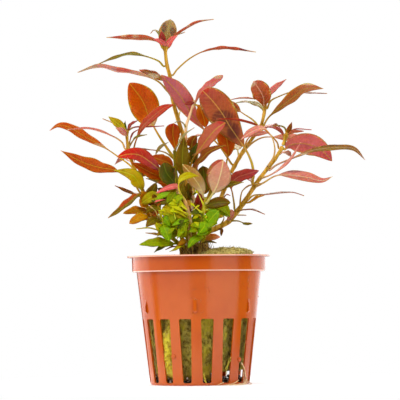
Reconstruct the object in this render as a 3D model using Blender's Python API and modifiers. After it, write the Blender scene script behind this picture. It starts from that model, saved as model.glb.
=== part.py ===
"""Potted ludwigia glandulosa: a bushy aquarium plant rooted in rockwool in a slotted plastic net pot.

Lengths are written in millimetres and turned into metres by MM. The pot's bottom centre is the origin,
+Z is up and the plant's best side faces -Y.
"""

import math
from collections import namedtuple

import bmesh
import bpy
from mathutils import Vector

MM = 0.001
GAP = 0.3
MERGE_DISTANCE = 1e-7
SCREW_MERGE_DISTANCE = 1e-5

# Pot, a 5 cm net pot
RIM_DIAMETER = 55.0
BAND_DIAMETER = 51.3
BAND_HEIGHT = 5.5
BAND_TAPER = 0.1
NECK_DIAMETER = 48.0
FOOT_DIAMETER = 38.2
FOOT_CHAMFER = 0.6
POT_HEIGHT = 49.5
WALL = 1.2
RIM_THICKNESS = 0.8
FLANGE_Z = POT_HEIGHT - RIM_THICKNESS
NECK_Z = FLANGE_Z - BAND_HEIGHT
POT_SEGMENTS = 48
SLOTS = 16
SLOT_FOOT_Z = 1.5
SLOT_TOP_Z = 25.2
SLOT_TOP_WIDTH = 4.9
SLOT_FOOT_WIDTH = 3.3
SLOT_CUT_INSIDE = 4.0
SLOT_CUT_BEYOND = 3.0
FIRST_SLOT_DEGREES = 8.0
FLOOR_SLOTS = 8
FLOOR_SLOT_INNER = 6.0
FLOOR_SLOT_OUTER = 15.0
FLOOR_SLOT_WIDTH = 2.6
FLOOR_CUT_HEIGHT = 4.8
POT_COLOUR = (0.60, 0.12, 0.035)
POT_ROUGHNESS = 0.35

# Rockwool plug and the knot of roots on it
WOOL_CLEARANCE = 1.3
WOOL_FOOT_Z = 1.6
WOOL_SIDE_HEIGHTS = (WOOL_FOOT_Z, 4, 9, 17, 26, 35, 44)
WOOL_TOP_RINGS = 5
WOOL_TOP_Z = 48.7
WOOL_SEGMENTS = 28
WOOL_LUMPS = 9
WOOL_LUMP_SHARE = 0.6
WOOL_LUMP_TURN = 0.8
WOOL_FOLDS = 5
WOOL_FOLD_SHARE = 0.4
WOOL_FOLD_TWIST = 0.12
WOOL_RELIEF = 0.7
WOOL_FOOT_ROUNDING = 6.0
WOOL_FOOT_INSET = 2.5
WOOL_COLOUR = (0.16, 0.13, 0.02)
WOOL_ROUGHNESS = 0.9
MOSS_RISE = 3.6
MOSS_RIPPLE = 0.25
MOSS_RIPPLE_TURNS = (1.3, 1.1)
MOSS_CENTRE = (10.5, -3.0)
MOSS_SPREAD = 9.0
CROWN_RADIUS = 7.0
CROWN_HEIGHT = 2.8
CROWN_THICKNESS = 0.24
CROWN_GAP = 0.4
CROWN_CENTRE = (-0.5, -0.5)
CROWN_SEGMENTS = 14
CROWN_RINGS = 8
CROWN_LOBES = 5
CROWN_LOBE_SHARE = 0.12
CROWN_KNOBS = 9
CROWN_KNOB_SHARE = 0.06
CROWN_KNOB_TURN = 1.0
CROWN_COLOUR = (0.07, 0.045, 0.02)

# A loose root outside the pot: degrees to the right of the front, how far forward of that circle, height
TRAILING_ROOT = ((53, 0, 8.6), (50, 0.1, 5.1), (46, 0.6, 2.4), (38, 1.2, 0.8), (27, 1.8, 0.5), (17, 2.6, 0.5))
ROOT_REACH = 21.1
ROOT_RADIUS = 0.35
ROOT_TIP_RADIUS = 0.28
ROOT_ROUTE_STEPS = 3
ROOT_COLOUR = (0.62, 0.42, 0.24)
ROOT_ROUGHNESS = 0.6

# Plant
LEAF_THICKNESS = 0.42
PETIOLE_HALF_WIDTH = 0.5
FOOT_HALF_WIDTH = 0.3
TIP_HALF_WIDTH = 0.16
FOLDED_FROM = 0.5
SECTION_CORNERS = 4
PETIOLE_STEP = 4.5
LARGE_LEAF_STEPS = 5
SMALL_LEAF_STEPS = 3
LEAF_ROUTE_STEPS = 6
LEAF_ROUGHNESS = 0.4
STEM_STEP = 6.0
STEM_ROUTE_STEPS = 8
STEM_ROUGHNESS = 0.45
ROD_RESOLUTION = 1
EYE_DISTANCE = 900.0
EYE_HEIGHT = 31.1
SIGHT_DROP = 0.9

# Ways that a blade's upper side can face
UP = (0, -0.3, 1)
LEVEL = (0, 0.1, 1)
FRONT = (0, -1, 0.15)
BACK = (0, 1, 0.2)
TILTED = (0, -0.8, 0.9)
TURNED_AWAY = (0, 0.6, 1)

Form = namedtuple("Form", "belly fullness fold")
LANCE = Form(0.85, 1.05, 18)
OVATE = Form(0.95, 0.72, 12)
ROUND = Form(1.0, 0.55, 14)
NARROW = Form(0.9, 1.2, 25)
CUPPED = Form(0.9, 0.8, 32)

Stem = namedtuple("Stem", "points foot_radius tip_radius tone")
Leaf = namedtuple("Leaf", "stem foot_z points petiole width face form tone")

TONES = {
    "golden": (0.42, 0.22, 0.02),
    "stem_pink": (0.50, 0.24, 0.13),
    "olive": (0.19, 0.14, 0.01),
    "yellow": (0.40, 0.38, 0.01),
    "green": (0.10, 0.26, 0.005),
    "dark_green": (0.05, 0.10, 0.01),
    "grey": (0.24, 0.22, 0.13),
    "bronze": (0.30, 0.11, 0.04),
    "brown": (0.28, 0.11, 0.02),
    "orange": (0.48, 0.10, 0.005),
    "ochre": (0.43, 0.19, 0.01),
    "red": (0.46, 0.03, 0.02),
    "wine": (0.24, 0.03, 0.03),
    "salmon": (0.56, 0.16, 0.10),
    "mauve": (0.45, 0.12, 0.12),
    "pink": (0.62, 0.22, 0.20),
    "blush": (0.55, 0.30, 0.18),
}

STEMS = {
    "tall_stem": Stem(
        [(-3, 2, 54), (-4, 3.5, 75), (-5.2, 4.5, 95), (-6.4, 4.5, 100), (-8.8, 4, 108.5),
         (-9.8, 3.5, 114), (-10.2, 3, 119.5), (-11.3, 3, 124), (-11.8, 2.5, 128), (-12, 2.5, 132.5)],
        1.1, 0.65, "golden"),
    "centre_stem": Stem(
        [(-0.5, -1.5, 54.5), (-1.6, -1, 70), (-3.8, -0.5, 84), (-4.4, -0.5, 98.5), (-2.8, 0, 104.5),
         (-0.6, 0, 110.5)],
        0.85, 0.5, "stem_pink"),
    "left_centre_stem": Stem(
        [(-3.6, -1.8, 53.7), (-5.2, -1.5, 62), (-7.2, -0.5, 72), (-8.2, 0.5, 80), (-8.7, 1, 86),
         (-8.8, 1, 91.5)],
        0.8, 0.55, "olive"),
    "left_stem": Stem(
        [(-5.2, 0.8, 53.2), (-11, 0, 58), (-16, -0.5, 62.5), (-18.6, -0.5, 67), (-20.2, -0.5, 71),
         (-21.4, 0, 76), (-22.9, 0, 80.5), (-24.4, 0, 84.5), (-25.9, 0, 88.5), (-26.8, 0, 92),
         (-27.3, 0, 99.5)],
        0.85, 0.55, "golden"),
    "right_stem": Stem(
        [(1.6, -2.2, 54.7), (3.6, -2.6, 59), (7, -3, 60.8), (10, -3, 62.3), (12.5, -3.2, 64),
         (14, -3.5, 66), (17, -4, 69.6), (20, -4.3, 74), (23, -4.8, 78.5), (26.5, -5.5, 83),
         (30.5, -6.2, 88), (33.2, -6.8, 92.7), (34.8, -7, 97.5)],
        0.95, 0.65, "golden"),
    "right_back_stem": Stem(
        [(1.2, 1.8, 54.2), (4.6, 4, 62), (9.5, 6, 74), (12, 7, 80), (13.6, 7.5, 83.5), (17, 8, 89.3),
         (21, 8.6, 95), (24.5, 9.2, 99.8), (26, 9.8, 105), (26.8, 10, 110.5)],
        0.95, 0.6, "golden"),
    "front_left_stem": Stem(
        [(-3, -3.8, 53.6), (-3.1, -7, 59), (-3.3, -9, 65), (-4.6, -9.8, 70), (-5.7, -10.2, 72.5),
         (-8.2, -10.6, 75.4)],
        0.65, 0.45, "blush"),
    "front_centre_stem": Stem(
        [(0.6, -4.4, 54.1), (2.2, -8, 58), (1.7, -9.2, 64), (2.2, -9.8, 68.3), (3.3, -10.2, 73)],
        0.7, 0.5, "yellow"),
    "left_shoot": Stem(
        [(-5.6, -2.2, 53), (-9.6, -6, 57), (-12.6, -7, 61), (-14.4, -7.4, 66), (-15, -7.6, 70.5)],
        0.6, 0.4, "yellow"),
    "front_shoot": Stem(
        [(-5.2, -4.6, 52.7), (-7, -9.4, 58.5), (-8.4, -10.4, 63), (-9.4, -10.6, 70)],
        0.6, 0.4, "yellow"),
    "back_shoot": Stem(
        [(-1.6, 4.6, 53.3), (-3, 9, 59), (-3.4, 11, 66), (-2, 12.5, 73)],
        0.65, 0.4, "yellow"),
}

# Leaves that are pieces of their own. A point is its place in the front view and how far behind the pot's
# axis it lies; the foot is on the stem.
LARGE_LEAVES = {
    "top_left_leaf": Leaf(
        "tall_stem", 130.8,
        [(-14.3, 1, 133.1), (-18, -1, 134.5), (-24, -4, 134.9), (-34.7, -8, 135.3)],
        0.15, 3.6, (0, 0.7, 1), LANCE, "salmon"),
    "top_back_leaf": Leaf(
        "tall_stem", 131.8,
        [(-11.6, 5, 134.4), (-10.6, 7, 138.4), (-9.6, 8.5, 141.8)],
        0.15, 6.4, FRONT, ROUND, "grey"),
    "top_right_leaf": Leaf(
        "tall_stem", 131,
        [(-10, 1.5, 134), (-5, 4, 137.7), (1, 7, 140.8), (7, 10, 141.9)],
        0.12, 2.8, (0, 0.5, 1), LANCE, "salmon"),
    "arching_left_leaf": Leaf(
        "tall_stem", 123.8,
        [(-15.5, 4, 126.3), (-24, 8, 128.7), (-31, 11, 127.5), (-38.5, 13, 124.8)],
        0.3, 3.0, (0, -0.45, 1), LANCE, "olive"),
    "arching_right_leaf": Leaf(
        "tall_stem", 120,
        [(-7, 5, 122.9), (-2, 7, 127), (4, 10, 129.7), (12, 12, 130.4), (23.2, 14, 128.9)],
        0.42, 2.8, (0, 0.45, 1), LANCE, "salmon"),
    "drooping_leaf": Leaf(
        "tall_stem", 114,
        [(-15, 0, 118), (-22, -4, 120.9), (-30, -8, 122.3), (-38, -11, 124), (-46, -13, 121.8)],
        0.25, 3.2, (0, 0.2, 1), LANCE, "olive"),
    "blunt_leaf": Leaf(
        "tall_stem", 117.3,
        [(-14, 6, 119), (-18, 9, 121.2), (-22.2, 11, 122.5)],
        0.2, 4.0, TILTED, OVATE, "brown"),
    "mauve_leaf": Leaf(
        "right_back_stem", 84.8,
        [(8.8, 4, 92.3), (3, 3.2, 98.6), (-2.5, 2.6, 105.8), (-7, -0.6, 113.2), (-13.6, -3, 120.5)],
        0.4, 7.8, (0.25, 1, 0.2), Form(1.25, 0.85, 12), "mauve"),
    "centre_orange_leaf": Leaf(
        "centre_stem", 109,
        [(1.2, -0.4, 107.5), (2.6, -0.6, 103.5), (3.3, -0.6, 99.8)],
        0.14, 5.0, FRONT, OVATE, "orange"),
    "rolled_leaf": Leaf(
        "centre_stem", 110,
        [(1, 2, 112.8), (3.6, 4, 115), (6.8, 6, 117.4), (10.3, 7, 120)],
        0.08, 3.6, (-0.5, -1, 0.5), Form(1.3, 0.55, 30), "salmon"),
    "salmon_leaf": Leaf(
        "centre_stem", 84,
        [(-1.6, -3, 88), (1.5, -5.5, 92), (4, -7, 95.4), (7.2, -8.4, 99), (11, -9.5, 101.6)],
        0.3, 7.0, (-0.3, -1, 0.4), Form(1.2, 0.62, 16), "salmon"),
    "olive_upright_leaf": Leaf(
        "centre_stem", 80.5,
        [(-5.4, -3.6, 82.6), (-5.8, -5, 88.5), (-5, -5.6, 97)],
        0.12, 6.0, FRONT, Form(0.75, 1.0, 16), "olive"),
    "dark_brown_leaf": Leaf(
        "centre_stem", 79,
        [(-0.2, -5, 84.8), (1.8, -8, 87.8), (5, -10, 90.6), (11, -11.8, 92.9)],
        0.15, 6.2, (-0.2, -0.8, 0.8), Form(0.7, 0.8, 16), "brown"),
    "grey_red_leaf": Leaf(
        "right_back_stem", 107.5,
        [(25.9, 8, 110.6), (24.8, 6, 113.4), (22, 3.5, 117.5)],
        0.12, 7.7, (-0.2, -1, 0.4), Form(1.1, 0.48, 12), "bronze"),
    "tan_leaf": Leaf(
        "right_back_stem", 107,
        [(28.6, 12, 109.8), (32, 15, 111.6), (37, 18, 113.2), (43, 20, 112.8), (50.5, 22, 112.5)],
        0.42, 2.4, (0, -0.5, 1), LANCE, "brown"),
    "wide_olive_leaf": Leaf(
        "right_back_stem", 100,
        [(27.5, 8, 103.2), (30.5, 6.5, 105.9), (36, 4.5, 110), (42, 2.5, 114.2), (49, 0, 114.4)],
        0.2, 5.8, (-0.2, -1, 0.7), Form(1.15, 0.9, 20), "brown"),
    "red_orange_leaf": Leaf(
        "right_back_stem", 79.5,
        [(11.3, 3, 86.5), (12.1, 0, 90), (11.4, -0.8, 95), (9.8, -0.2, 103)],
        0.4, 7.8, FRONT, Form(1.1, 1.1, 18), "orange"),
    "broad_bronze_leaf": Leaf(
        "right_stem", 77.5,
        [(21.4, -7.6, 83.8), (19.4, -7, 89.8), (15.1, -4.5, 96.5), (12.4, -3.6, 100.6), (9.8, -3, 105.2),
         (6.2, -3, 110), (2.3, -3.6, 114.2)],
        0.38, 12.0, (-0.2, -1, 0.1), Form(1.6, 0.42, 14), "bronze"),
    "red_arching_leaf": Leaf(
        "right_stem", 91,
        [(30.8, -4.5, 93.8), (28, -3.2, 97), (24.5, -3, 99.8), (19, -5, 101.8), (13, -7.4, 102.9),
         (7.5, -8.2, 103.1)],
        0.4, 2.2, (0, 0.4, 1), LANCE, "red"),
    "striped_pink_leaf": Leaf(
        "right_stem", 84.5,
        [(29.4, -8.4, 88), (29.9, -9.4, 92), (28.5, -9.2, 96.5), (25.5, -8.4, 99.2), (21, -7.4, 97.8),
         (16.8, -9, 94.9)],
        0.58, 3.6, (0.2, -0.8, 0.6), LANCE, "pink"),
    "large_pink_leaf": Leaf(
        "right_stem", 91.6,
        [(36, -7.6, 92.8), (41, -8, 93.2), (45.4, -8, 92), (48.8, -7, 89.8), (52, -6, 86.2)],
        0.08, 8.6, (0, 1, 0.3), Form(0.9, 0.8, 12), "mauve"),
    "long_olive_leaf": Leaf(
        "right_stem", 83.6,
        [(31, -8, 85.2), (38, -12.5, 88), (45, -15, 90.5), (54, -17, 91.4), (60.5, -19, 90.8),
         (64.8, -20, 86.5)],
        0.22, 3.2, (0, -0.4, 1), LANCE, "brown"),
    "arched_pink_leaf": Leaf(
        "right_stem", 77.2,
        [(25.5, -8, 78.2), (30, -12, 80.7), (35, -15, 81.5), (42, -18, 80.6), (48, -20, 78.9),
         (52, -21, 80.1)],
        0.36, 4.4, (0, 1, 0.5), LANCE, "pink"),
    "low_thin_leaf": Leaf(
        "right_stem", 71.5,
        [(21.5, -1.6, 73.3), (26, 2, 73.7), (33, 6, 74.3), (37, 8, 74.3), (41, 9, 73)],
        0.3, 2.0, UP, LANCE, "brown"),
    "wine_leaf": Leaf(
        "right_stem", 67.3,
        [(13.9, -6.6, 70.5), (13.4, -9, 74), (12.9, -10.4, 77.6), (15.5, -10.8, 80.3),
         (19, -10.4, 81.5), (23.7, -9.6, 82.9)],
        0.44, 5.6, (0, -1, 0.7), OVATE, "wine"),
    "deep_red_leaf": Leaf(
        "left_centre_stem", 90.4,
        [(-9.2, 2.6, 93.6), (-9.8, 3, 97.5), (-8.9, 2, 101.8)],
        0.12, 6.6, FRONT, Form(1.9, 0.45, 14), "red"),
    "big_orange_leaf": Leaf(
        "left_centre_stem", 88.8,
        [(-12, 5.5, 92.5), (-15.3, 8, 97.8), (-18.5, 10, 104), (-21, 11, 110.5), (-26, 12, 117.5)],
        0.46, 12.0, (-0.2, -1, 0.1), OVATE, "orange"),
    "bright_red_leaf": Leaf(
        "left_centre_stem", 81,
        [(-14.5, -5, 83.7), (-18, -7, 86.3), (-22.5, -8.4, 89.2), (-27, -9, 90), (-30.8, -9, 88.7)],
        0.3, 6.2, (0.1, -1, 0.4), LANCE, "red"),
    "bright_orange_leaf": Leaf(
        "left_centre_stem", 84.8,
        [(-11, -1.4, 86.2), (-14, -3, 87.3), (-18, -4, 88.6)],
        0.15, 4.2, (0, -1, 0.6), LANCE, "orange"),
    "dark_green_leaf": Leaf(
        "left_centre_stem", 77.5,
        [(-9.8, -4, 79.4), (-12, -6, 82.4), (-13.2, -7.4, 86.4)],
        0.14, 8.0, (0.1, -1, 0.6), ROUND, "dark_green"),
    "slanting_red_leaf": Leaf(
        "left_stem", 88,
        [(-24.6, -2.6, 91.5), (-23.5, -4, 95.5), (-21, -5, 100.5), (-17, -4.4, 104.3),
         (-12.5, -2.6, 107.6), (-8.7, -1, 108.9)],
        0.3, 3.8, (-0.4, -0.9, 0.8), LANCE, "red"),
    "long_left_leaf": Leaf(
        "left_stem", 79.5,
        [(-25.3, 3, 84.7), (-31, 6, 89.2), (-37, 8, 93.3), (-43, 10, 96.6), (-49, 12, 100.3),
         (-53.5, 13, 101.3), (-57, 14, 99.4)],
        0.42, 3.8, (-0.1, -0.9, 0.8), LANCE, "ochre"),
    "thin_pink_leaf": Leaf(
        "left_stem", 92.3,
        [(-29.5, 1, 94.9), (-35, 2.4, 98), (-42, 3.6, 100), (-50, 5, 99.8)],
        0.28, 1.9, TURNED_AWAY, LANCE, "pink"),
    "orange_left_leaf": Leaf(
        "left_stem", 74,
        [(-25.6, -4, 79.6), (-31.5, -6.4, 83.5), (-38, -9, 84.8), (-45, -12, 87.2), (-52.8, -15, 91.6)],
        0.36, 5.2, (0, -1, 0.6), LANCE, "orange"),
    "yellow_green_leaf": Leaf(
        "left_stem", 75.6,
        [(-22.6, -5, 78.4), (-25.6, -9, 81.9), (-32.2, -12, 83.8)],
        0.08, 5.6, (-0.2, -0.9, 0.3), LANCE, "yellow"),
    "folded_leaf": Leaf(
        "left_stem", 74.6,
        [(-23.6, -6.6, 74), (-26.5, -9.6, 71.3), (-30.5, -12.4, 68), (-34.8, -14, 65.3)],
        0.14, 3.8, (-0.3, -0.5, 1), CUPPED, "olive"),
    "ochre_leaf": Leaf(
        "left_stem", 65.6,
        [(-20.4, -4.6, 67.4), (-24, -7.4, 68), (-29, -9, 67)],
        0.12, 4.4, (0, -0.9, 0.6), OVATE, "ochre"),
    "coral_leaf": Leaf(
        "front_left_stem", 75,
        [(-10, -12.4, 76.5), (-12.4, -13.4, 75.9), (-15.8, -14.4, 74.6)],
        0.1, 2.8, (0, -0.6, 1), LANCE, "pink"),
    "blush_leaf": Leaf(
        "front_centre_stem", 72.2,
        [(1.2, -12.4, 76.3), (-0.8, -13.6, 79.5), (-3, -14, 82.5), (-5.8, -14, 85.7)],
        0.14, 5.8, (0, 1, 0.3), OVATE, "blush"),
    "pale_pink_leaf": Leaf(
        "front_centre_stem", 70.4,
        [(5, -13.4, 73), (7.2, -16, 76.8), (8.6, -18, 80.8), (9.4, -19, 84), (10, -19.6, 87)],
        0.34, 8.8, (0, 1, 0.25), OVATE, "pink"),
    "green_olive_leaf": Leaf(
        "front_centre_stem", 71.6,
        [(5.8, -12, 74.9), (9, -14, 76.8), (13, -15.2, 77.8), (17.8, -16, 78.5)],
        0.12, 2.9, TILTED, LANCE, "yellow"),
    "bright_green_leaf": Leaf(
        "front_centre_stem", 62.6,
        [(4.2, -12.6, 63.6), (5.8, -14, 65.4), (8, -15, 67.6)],
        0.1, 6.4, (0, -1, 0.5), ROUND, "green"),
    "low_green_leaf": Leaf(
        "left_shoot", 56,
        [(-12.6, -9.4, 55.8), (-17, -12, 55.5), (-22.8, -14.6, 54.8)],
        0.12, 4.4, TILTED, LANCE, "green"),
}

# Small leaves, fused with the stem that they grow from
SMALL_LEAVES = [
    Leaf("tall_stem", 132.2, [(-13, 0.5, 134.3), (-13.3, -0.6, 137.4)], 0.2, 3.2, FRONT, CUPPED, "wine"),
    Leaf("tall_stem", 131.6, [(-9, 4, 135.2), (-4.2, 6, 137)], 0.3, 1.3, UP, NARROW, "grey"),
    Leaf("tall_stem", 131.9, [(-14.4, 4, 136.4), (-16.2, 5.6, 138), (-17.6, 6, 136.6)],
         0.2, 1.5, UP, NARROW, "grey"),
    Leaf("tall_stem", 91, [(-6.5, 9, 94.4), (-8, 18, 96.8), (-10, 28, 94)],
         0.3, 5.6, LEVEL, LANCE, "olive"),
    Leaf("tall_stem", 103, [(-6.6, 10, 106), (-5, 19, 108.4), (-3, 27, 106)],
         0.3, 4.6, LEVEL, LANCE, "bronze"),
    Leaf("centre_stem", 109.4, [(-2.4, -2, 109.4), (-5.2, -3, 109)], 0.1, 1.9, FRONT, LANCE, "wine"),
    Leaf("centre_stem", 99.4, [(-5.4, -2, 101.8), (-7, -2.6, 102.4), (-8.7, -3, 101.9)],
         0.3, 1.1, UP, NARROW, "grey"),
    Leaf("centre_stem", 91, [(-2.6, -2, 93.4), (-1.2, -2.8, 95.2), (0.4, -3.4, 96.4)],
         0.2, 3.0, FRONT, OVATE, "brown"),
    Leaf("centre_stem", 83.2, [(-2, -1.8, 86.6), (-1.3, -2.4, 90), (0.1, -3, 94)],
         0.2, 2.8, FRONT, LANCE, "dark_green"),
    Leaf("centre_stem", 73, [(2.2, -5.4, 78), (3.2, -6.4, 82), (2, -6.8, 85.6)],
         0.3, 5.0, FRONT, LANCE, "green"),
    Leaf("centre_stem", 95, [(-1, 6, 97.5), (2, 14, 99.6), (4.6, 22, 98)],
         0.3, 4.6, LEVEL, LANCE, "bronze"),
    Leaf("right_back_stem", 109.8, [(28.5, 11, 112.9), (31, 12, 115.5), (34.8, 13, 118)],
         0.15, 2.3, (-0.4, -0.8, 0.8), LANCE, "red"),
    Leaf("right_back_stem", 110, [(22, 12, 110.9), (17, 14, 111), (13.3, 15, 110.6)],
         0.3, 1.3, UP, NARROW, "salmon"),
    Leaf("right_back_stem", 104.8, [(25.2, 13, 107.6), (22.5, 16, 109.5), (18, 19, 109.8), (14, 21, 109)],
         0.2, 2.8, UP, LANCE, "grey"),
    Leaf("right_back_stem", 99, [(22, 11, 102.2), (18, 13, 105), (14, 15, 107.4), (7, 17, 108.5)],
         0.5, 5.0, FRONT, LANCE, "bronze"),
    Leaf("right_back_stem", 91, [(19.3, 5, 94.8), (21.5, 3.4, 96.7), (25, 2, 97.4), (28.2, 0.6, 97.4)],
         0.45, 2.2, FRONT, LANCE, "pink"),
    Leaf("right_back_stem", 90,
         [(21.5, 6.4, 93.8), (25.5, 4, 95.7), (30, 1.4, 95.8), (36, -1.4, 95.6), (44, -3, 95)],
         0.5, 3.2, BACK, LANCE, "pink"),
    Leaf("right_back_stem", 88, [(15.6, 15, 91), (14.6, 24, 93), (14, 33, 91)],
         0.3, 6.0, LEVEL, OVATE, "olive"),
    Leaf("right_back_stem", 97, [(26, 16, 99), (29, 24, 100.4), (33, 31, 98)],
         0.3, 4.6, LEVEL, LANCE, "brown"),
    Leaf("right_stem", 96.4, [(35.8, -7.4, 99.2), (36.7, -7.8, 101.6)], 0.1, 2.0, FRONT, LANCE, "brown"),
    Leaf("right_stem", 96, [(37, -9, 97.6), (41.3, -10.6, 98)], 0.15, 2.1, (0, 0.6, 1), OVATE, "salmon"),
    Leaf("right_stem", 96.8, [(38, -6, 98.9), (44.3, -5, 98.5)], 0.2, 1.0, UP, NARROW, "mauve"),
    Leaf("right_stem", 96.6, [(33.8, -5.6, 99.4), (31.5, -5, 100.3), (29.5, -4.8, 100)],
         0.2, 1.2, UP, NARROW, "olive"),
    Leaf("right_stem", 93.3, [(33.4, -4.4, 96.4), (31.4, -2.2, 98.9), (28.5, 0.4, 99.7), (25.8, 2.6, 99.5)],
         0.25, 2.4, (0, -0.7, 1), LANCE, "wine"),
    Leaf("right_stem", 79.8, [(28.5, -11, 81.4), (33, -16, 84.5), (36.5, -19, 88), (40, -21, 93.4)],
         0.3, 1.8, (-0.8, 0.5, 0.4), NARROW, "pink"),
    Leaf("right_stem", 70.2, [(20.5, -6.6, 71), (23, -8.4, 72.5), (25.6, -10, 73.3)],
         0.15, 2.8, TILTED, LANCE, "ochre"),
    Leaf("right_stem", 68.6, [(16.5, -7, 72.6), (17.4, -8.4, 75.4), (20, -8.6, 77.2), (24.4, -8.4, 78)],
         0.5, 1.5, UP, NARROW, "golden"),
    Leaf("right_stem", 66.8, [(17.2, -7, 67.8), (21, -10.6, 67.9), (25.8, -14, 66)],
         0.3, 1.4, UP, NARROW, "brown"),
    Leaf("right_stem", 63.6, [(15.5, -5.6, 63.5), (18.2, -7.6, 62.4), (20.9, -8.6, 62.4)],
         0.6, 2.0, TILTED, OVATE, "olive"),
    Leaf("right_stem", 65.6, [(16.4, -2, 65.9), (18.6, -1, 65.7)], 0.3, 1.0, UP, NARROW, "blush"),
    Leaf("right_stem", 76, [(20.6, 3, 79), (19, 11, 81.6), (17.4, 19, 80.6)],
         0.3, 5.4, LEVEL, OVATE, "wine"),
    Leaf("right_stem", 87, [(31.6, 0, 89), (33.6, 8, 90), (36.4, 17, 88)],
         0.25, 4.6, LEVEL, LANCE, "bronze"),
    Leaf("left_centre_stem", 90.8, [(-7.4, -5, 93.6), (-4.6, -8.6, 97.4), (-1, -9.4, 99.9)],
         0.2, 1.7, (-0.5, -0.8, 0.6), NARROW, "grey"),
    Leaf("left_centre_stem", 87.6, [(-12.6, 2.4, 90.6), (-18, 1.4, 91.7), (-24, -0.6, 92.3)],
         0.6, 1.6, UP, NARROW, "red"),
    Leaf("left_centre_stem", 79, [(-13, -1, 80.6), (-17, -3, 82.1), (-21, -4.6, 84.2), (-26, -6, 86.9)],
         0.2, 3.8, (0, -1, 0.6), LANCE, "brown"),
    Leaf("left_centre_stem", 82,
         [(-13.4, 1.2, 84.6), (-16.2, 0.4, 88.4), (-14.6, -0.6, 92.2), (-11, -2, 94.4)],
         0.6, 1.5, FRONT, NARROW, "grey"),
    Leaf("left_centre_stem", 73.4, [(-12, 3, 77), (-16, 2, 79.3), (-20, 1, 80.4)],
         0.2, 4.0, TILTED, LANCE, "olive"),
    Leaf("left_centre_stem", 79.6, [(-11, 9, 82), (-13, 18, 84.4), (-14, 27, 82.6)],
         0.3, 5.8, LEVEL, OVATE, "olive"),
    Leaf("left_stem", 98.8, [(-29.2, -1.6, 100.6), (-31.5, -2.6, 102.3), (-34.3, -3.6, 104.6)],
         0.1, 3.8, (-0.2, -0.9, 0.5), LANCE, "yellow"),
    Leaf("left_stem", 98.2, [(-31, 2, 101.4), (-36.5, 4, 103.8)], 0.2, 1.0, UP, NARROW, "blush"),
    Leaf("left_stem", 96.6, [(-29, -2.6, 98.9), (-31.6, -3.6, 100.2)], 0.1, 2.7, BACK, LANCE, "pink"),
    Leaf("left_stem", 98.8, [(-27.9, 0.8, 101), (-27.7, 1.4, 102.9)],
         0.1, 1.2, FRONT, NARROW, "dark_green"),
    Leaf("left_stem", 98.6, [(-25.6, -1, 101.2), (-22.8, -2, 103)], 0.1, 2.2, TILTED, LANCE, "wine"),
    Leaf("left_stem", 98.4, [(-24, 2, 100.4), (-19, 3, 100.4), (-12.7, 4, 100.7)],
         0.2, 1.4, UP, NARROW, "wine"),
    Leaf("left_stem", 91.4, [(-25.6, -4.4, 94), (-23.6, -7.4, 96.4), (-19.4, -9, 97.4)],
         0.2, 2.3, TILTED, LANCE, "olive"),
    Leaf("left_stem", 91.8, [(-25.7, 2.4, 96), (-24.6, 3.4, 98.2), (-22.3, 4.4, 99.6)],
         0.4, 1.1, UP, NARROW, "wine"),
    Leaf("left_stem", 72.4, [(-23.4, -2.6, 74), (-27.5, -4, 75.6), (-32, -5, 77.8)],
         0.3, 2.4, TILTED, LANCE, "brown"),
    Leaf("left_stem", 63.8, [(-19.6, -7, 65.8), (-22.6, -10.6, 65.2), (-26.6, -12.6, 63)],
         0.4, 4.0, (0, -1, 0.4), ROUND, "ochre"),
    Leaf("left_stem", 69, [(-20.3, -3.6, 70.8), (-20.4, -4.6, 73), (-21.6, -5.4, 75.4)],
         0.1, 5.0, FRONT, ROUND, "ochre"),
    Leaf("left_stem", 85, [(-25.4, 9, 87), (-28, 18, 88.4), (-32, 26, 86)],
         0.25, 5.0, LEVEL, LANCE, "bronze"),
    Leaf("left_stem", 71, [(-21, 9, 73), (-22.6, 17, 74.4), (-25, 25, 72)],
         0.25, 5.0, LEVEL, LANCE, "olive"),
    Leaf("front_left_stem", 71.4,
         [(-7.1, -13, 75.3), (-7.3, -15.2, 78.4), (-5.8, -16, 80.5), (-3, -16.4, 81.4),
          (0.5, -16.4, 81)],
         0.5, 2.8, FRONT, LANCE, "yellow"),
    Leaf("front_left_stem", 64, [(-5.6, -12, 66), (-8.2, -13.4, 67.6)], 0.2, 2.6, TILTED, LANCE, "yellow"),
    Leaf("front_centre_stem", 68.4, [(6, -9.4, 69.8), (9.8, -9.2, 69.2), (12.4, -9, 65)],
         0.45, 2.8, FRONT, LANCE, "olive"),
    Leaf("front_centre_stem", 69.4, [(5, -11.6, 70.6), (8.5, -13.6, 71.3), (12.8, -15, 69.2)],
         0.12, 3.6, (0, -0.8, 0.9), OVATE, "olive"),
    Leaf("front_centre_stem", 70.2, [(4.4, -10.6, 76), (5.6, -11, 80), (7, -11, 84), (8.6, -11, 87.2)],
         0.35, 7.6, FRONT, ROUND, "salmon"),
    Leaf("front_centre_stem", 65.6, [(0, -12, 67.1), (-3, -13.6, 66.8)],
         0.15, 3.2, TILTED, OVATE, "dark_green"),
    Leaf("front_centre_stem", 60, [(0.4, -12, 61.4), (-2.6, -14, 62.4)], 0.15, 3.4, TILTED, OVATE, "green"),
    Leaf("front_centre_stem", 58.4, [(3.6, -11, 59.6), (5.4, -12.6, 62)],
         0.15, 3.2, (0, -1, 0.5), LANCE, "green"),
    Leaf("front_centre_stem", 57, [(0, -10.6, 57.3), (-2.2, -12.4, 56), (-4.1, -13.4, 53.4)],
         0.15, 2.6, TILTED, LANCE, "green"),
    Leaf("front_centre_stem", 56.2, [(4.8, -9, 57.2), (8.4, -10.4, 57.8)],
         0.2, 2.6, (0, -1, 0.6), OVATE, "orange"),
    Leaf("front_centre_stem", 55.4, [(4.4, -9, 55.6), (7, -10.4, 55.2)], 0.2, 1.8, TILTED, LANCE, "olive"),
    Leaf("left_shoot", 69, [(-15.2, -9, 70.8), (-18.2, -11.6, 71.8)],
         0.2, 2.6, TILTED, LANCE, "dark_green"),
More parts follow.
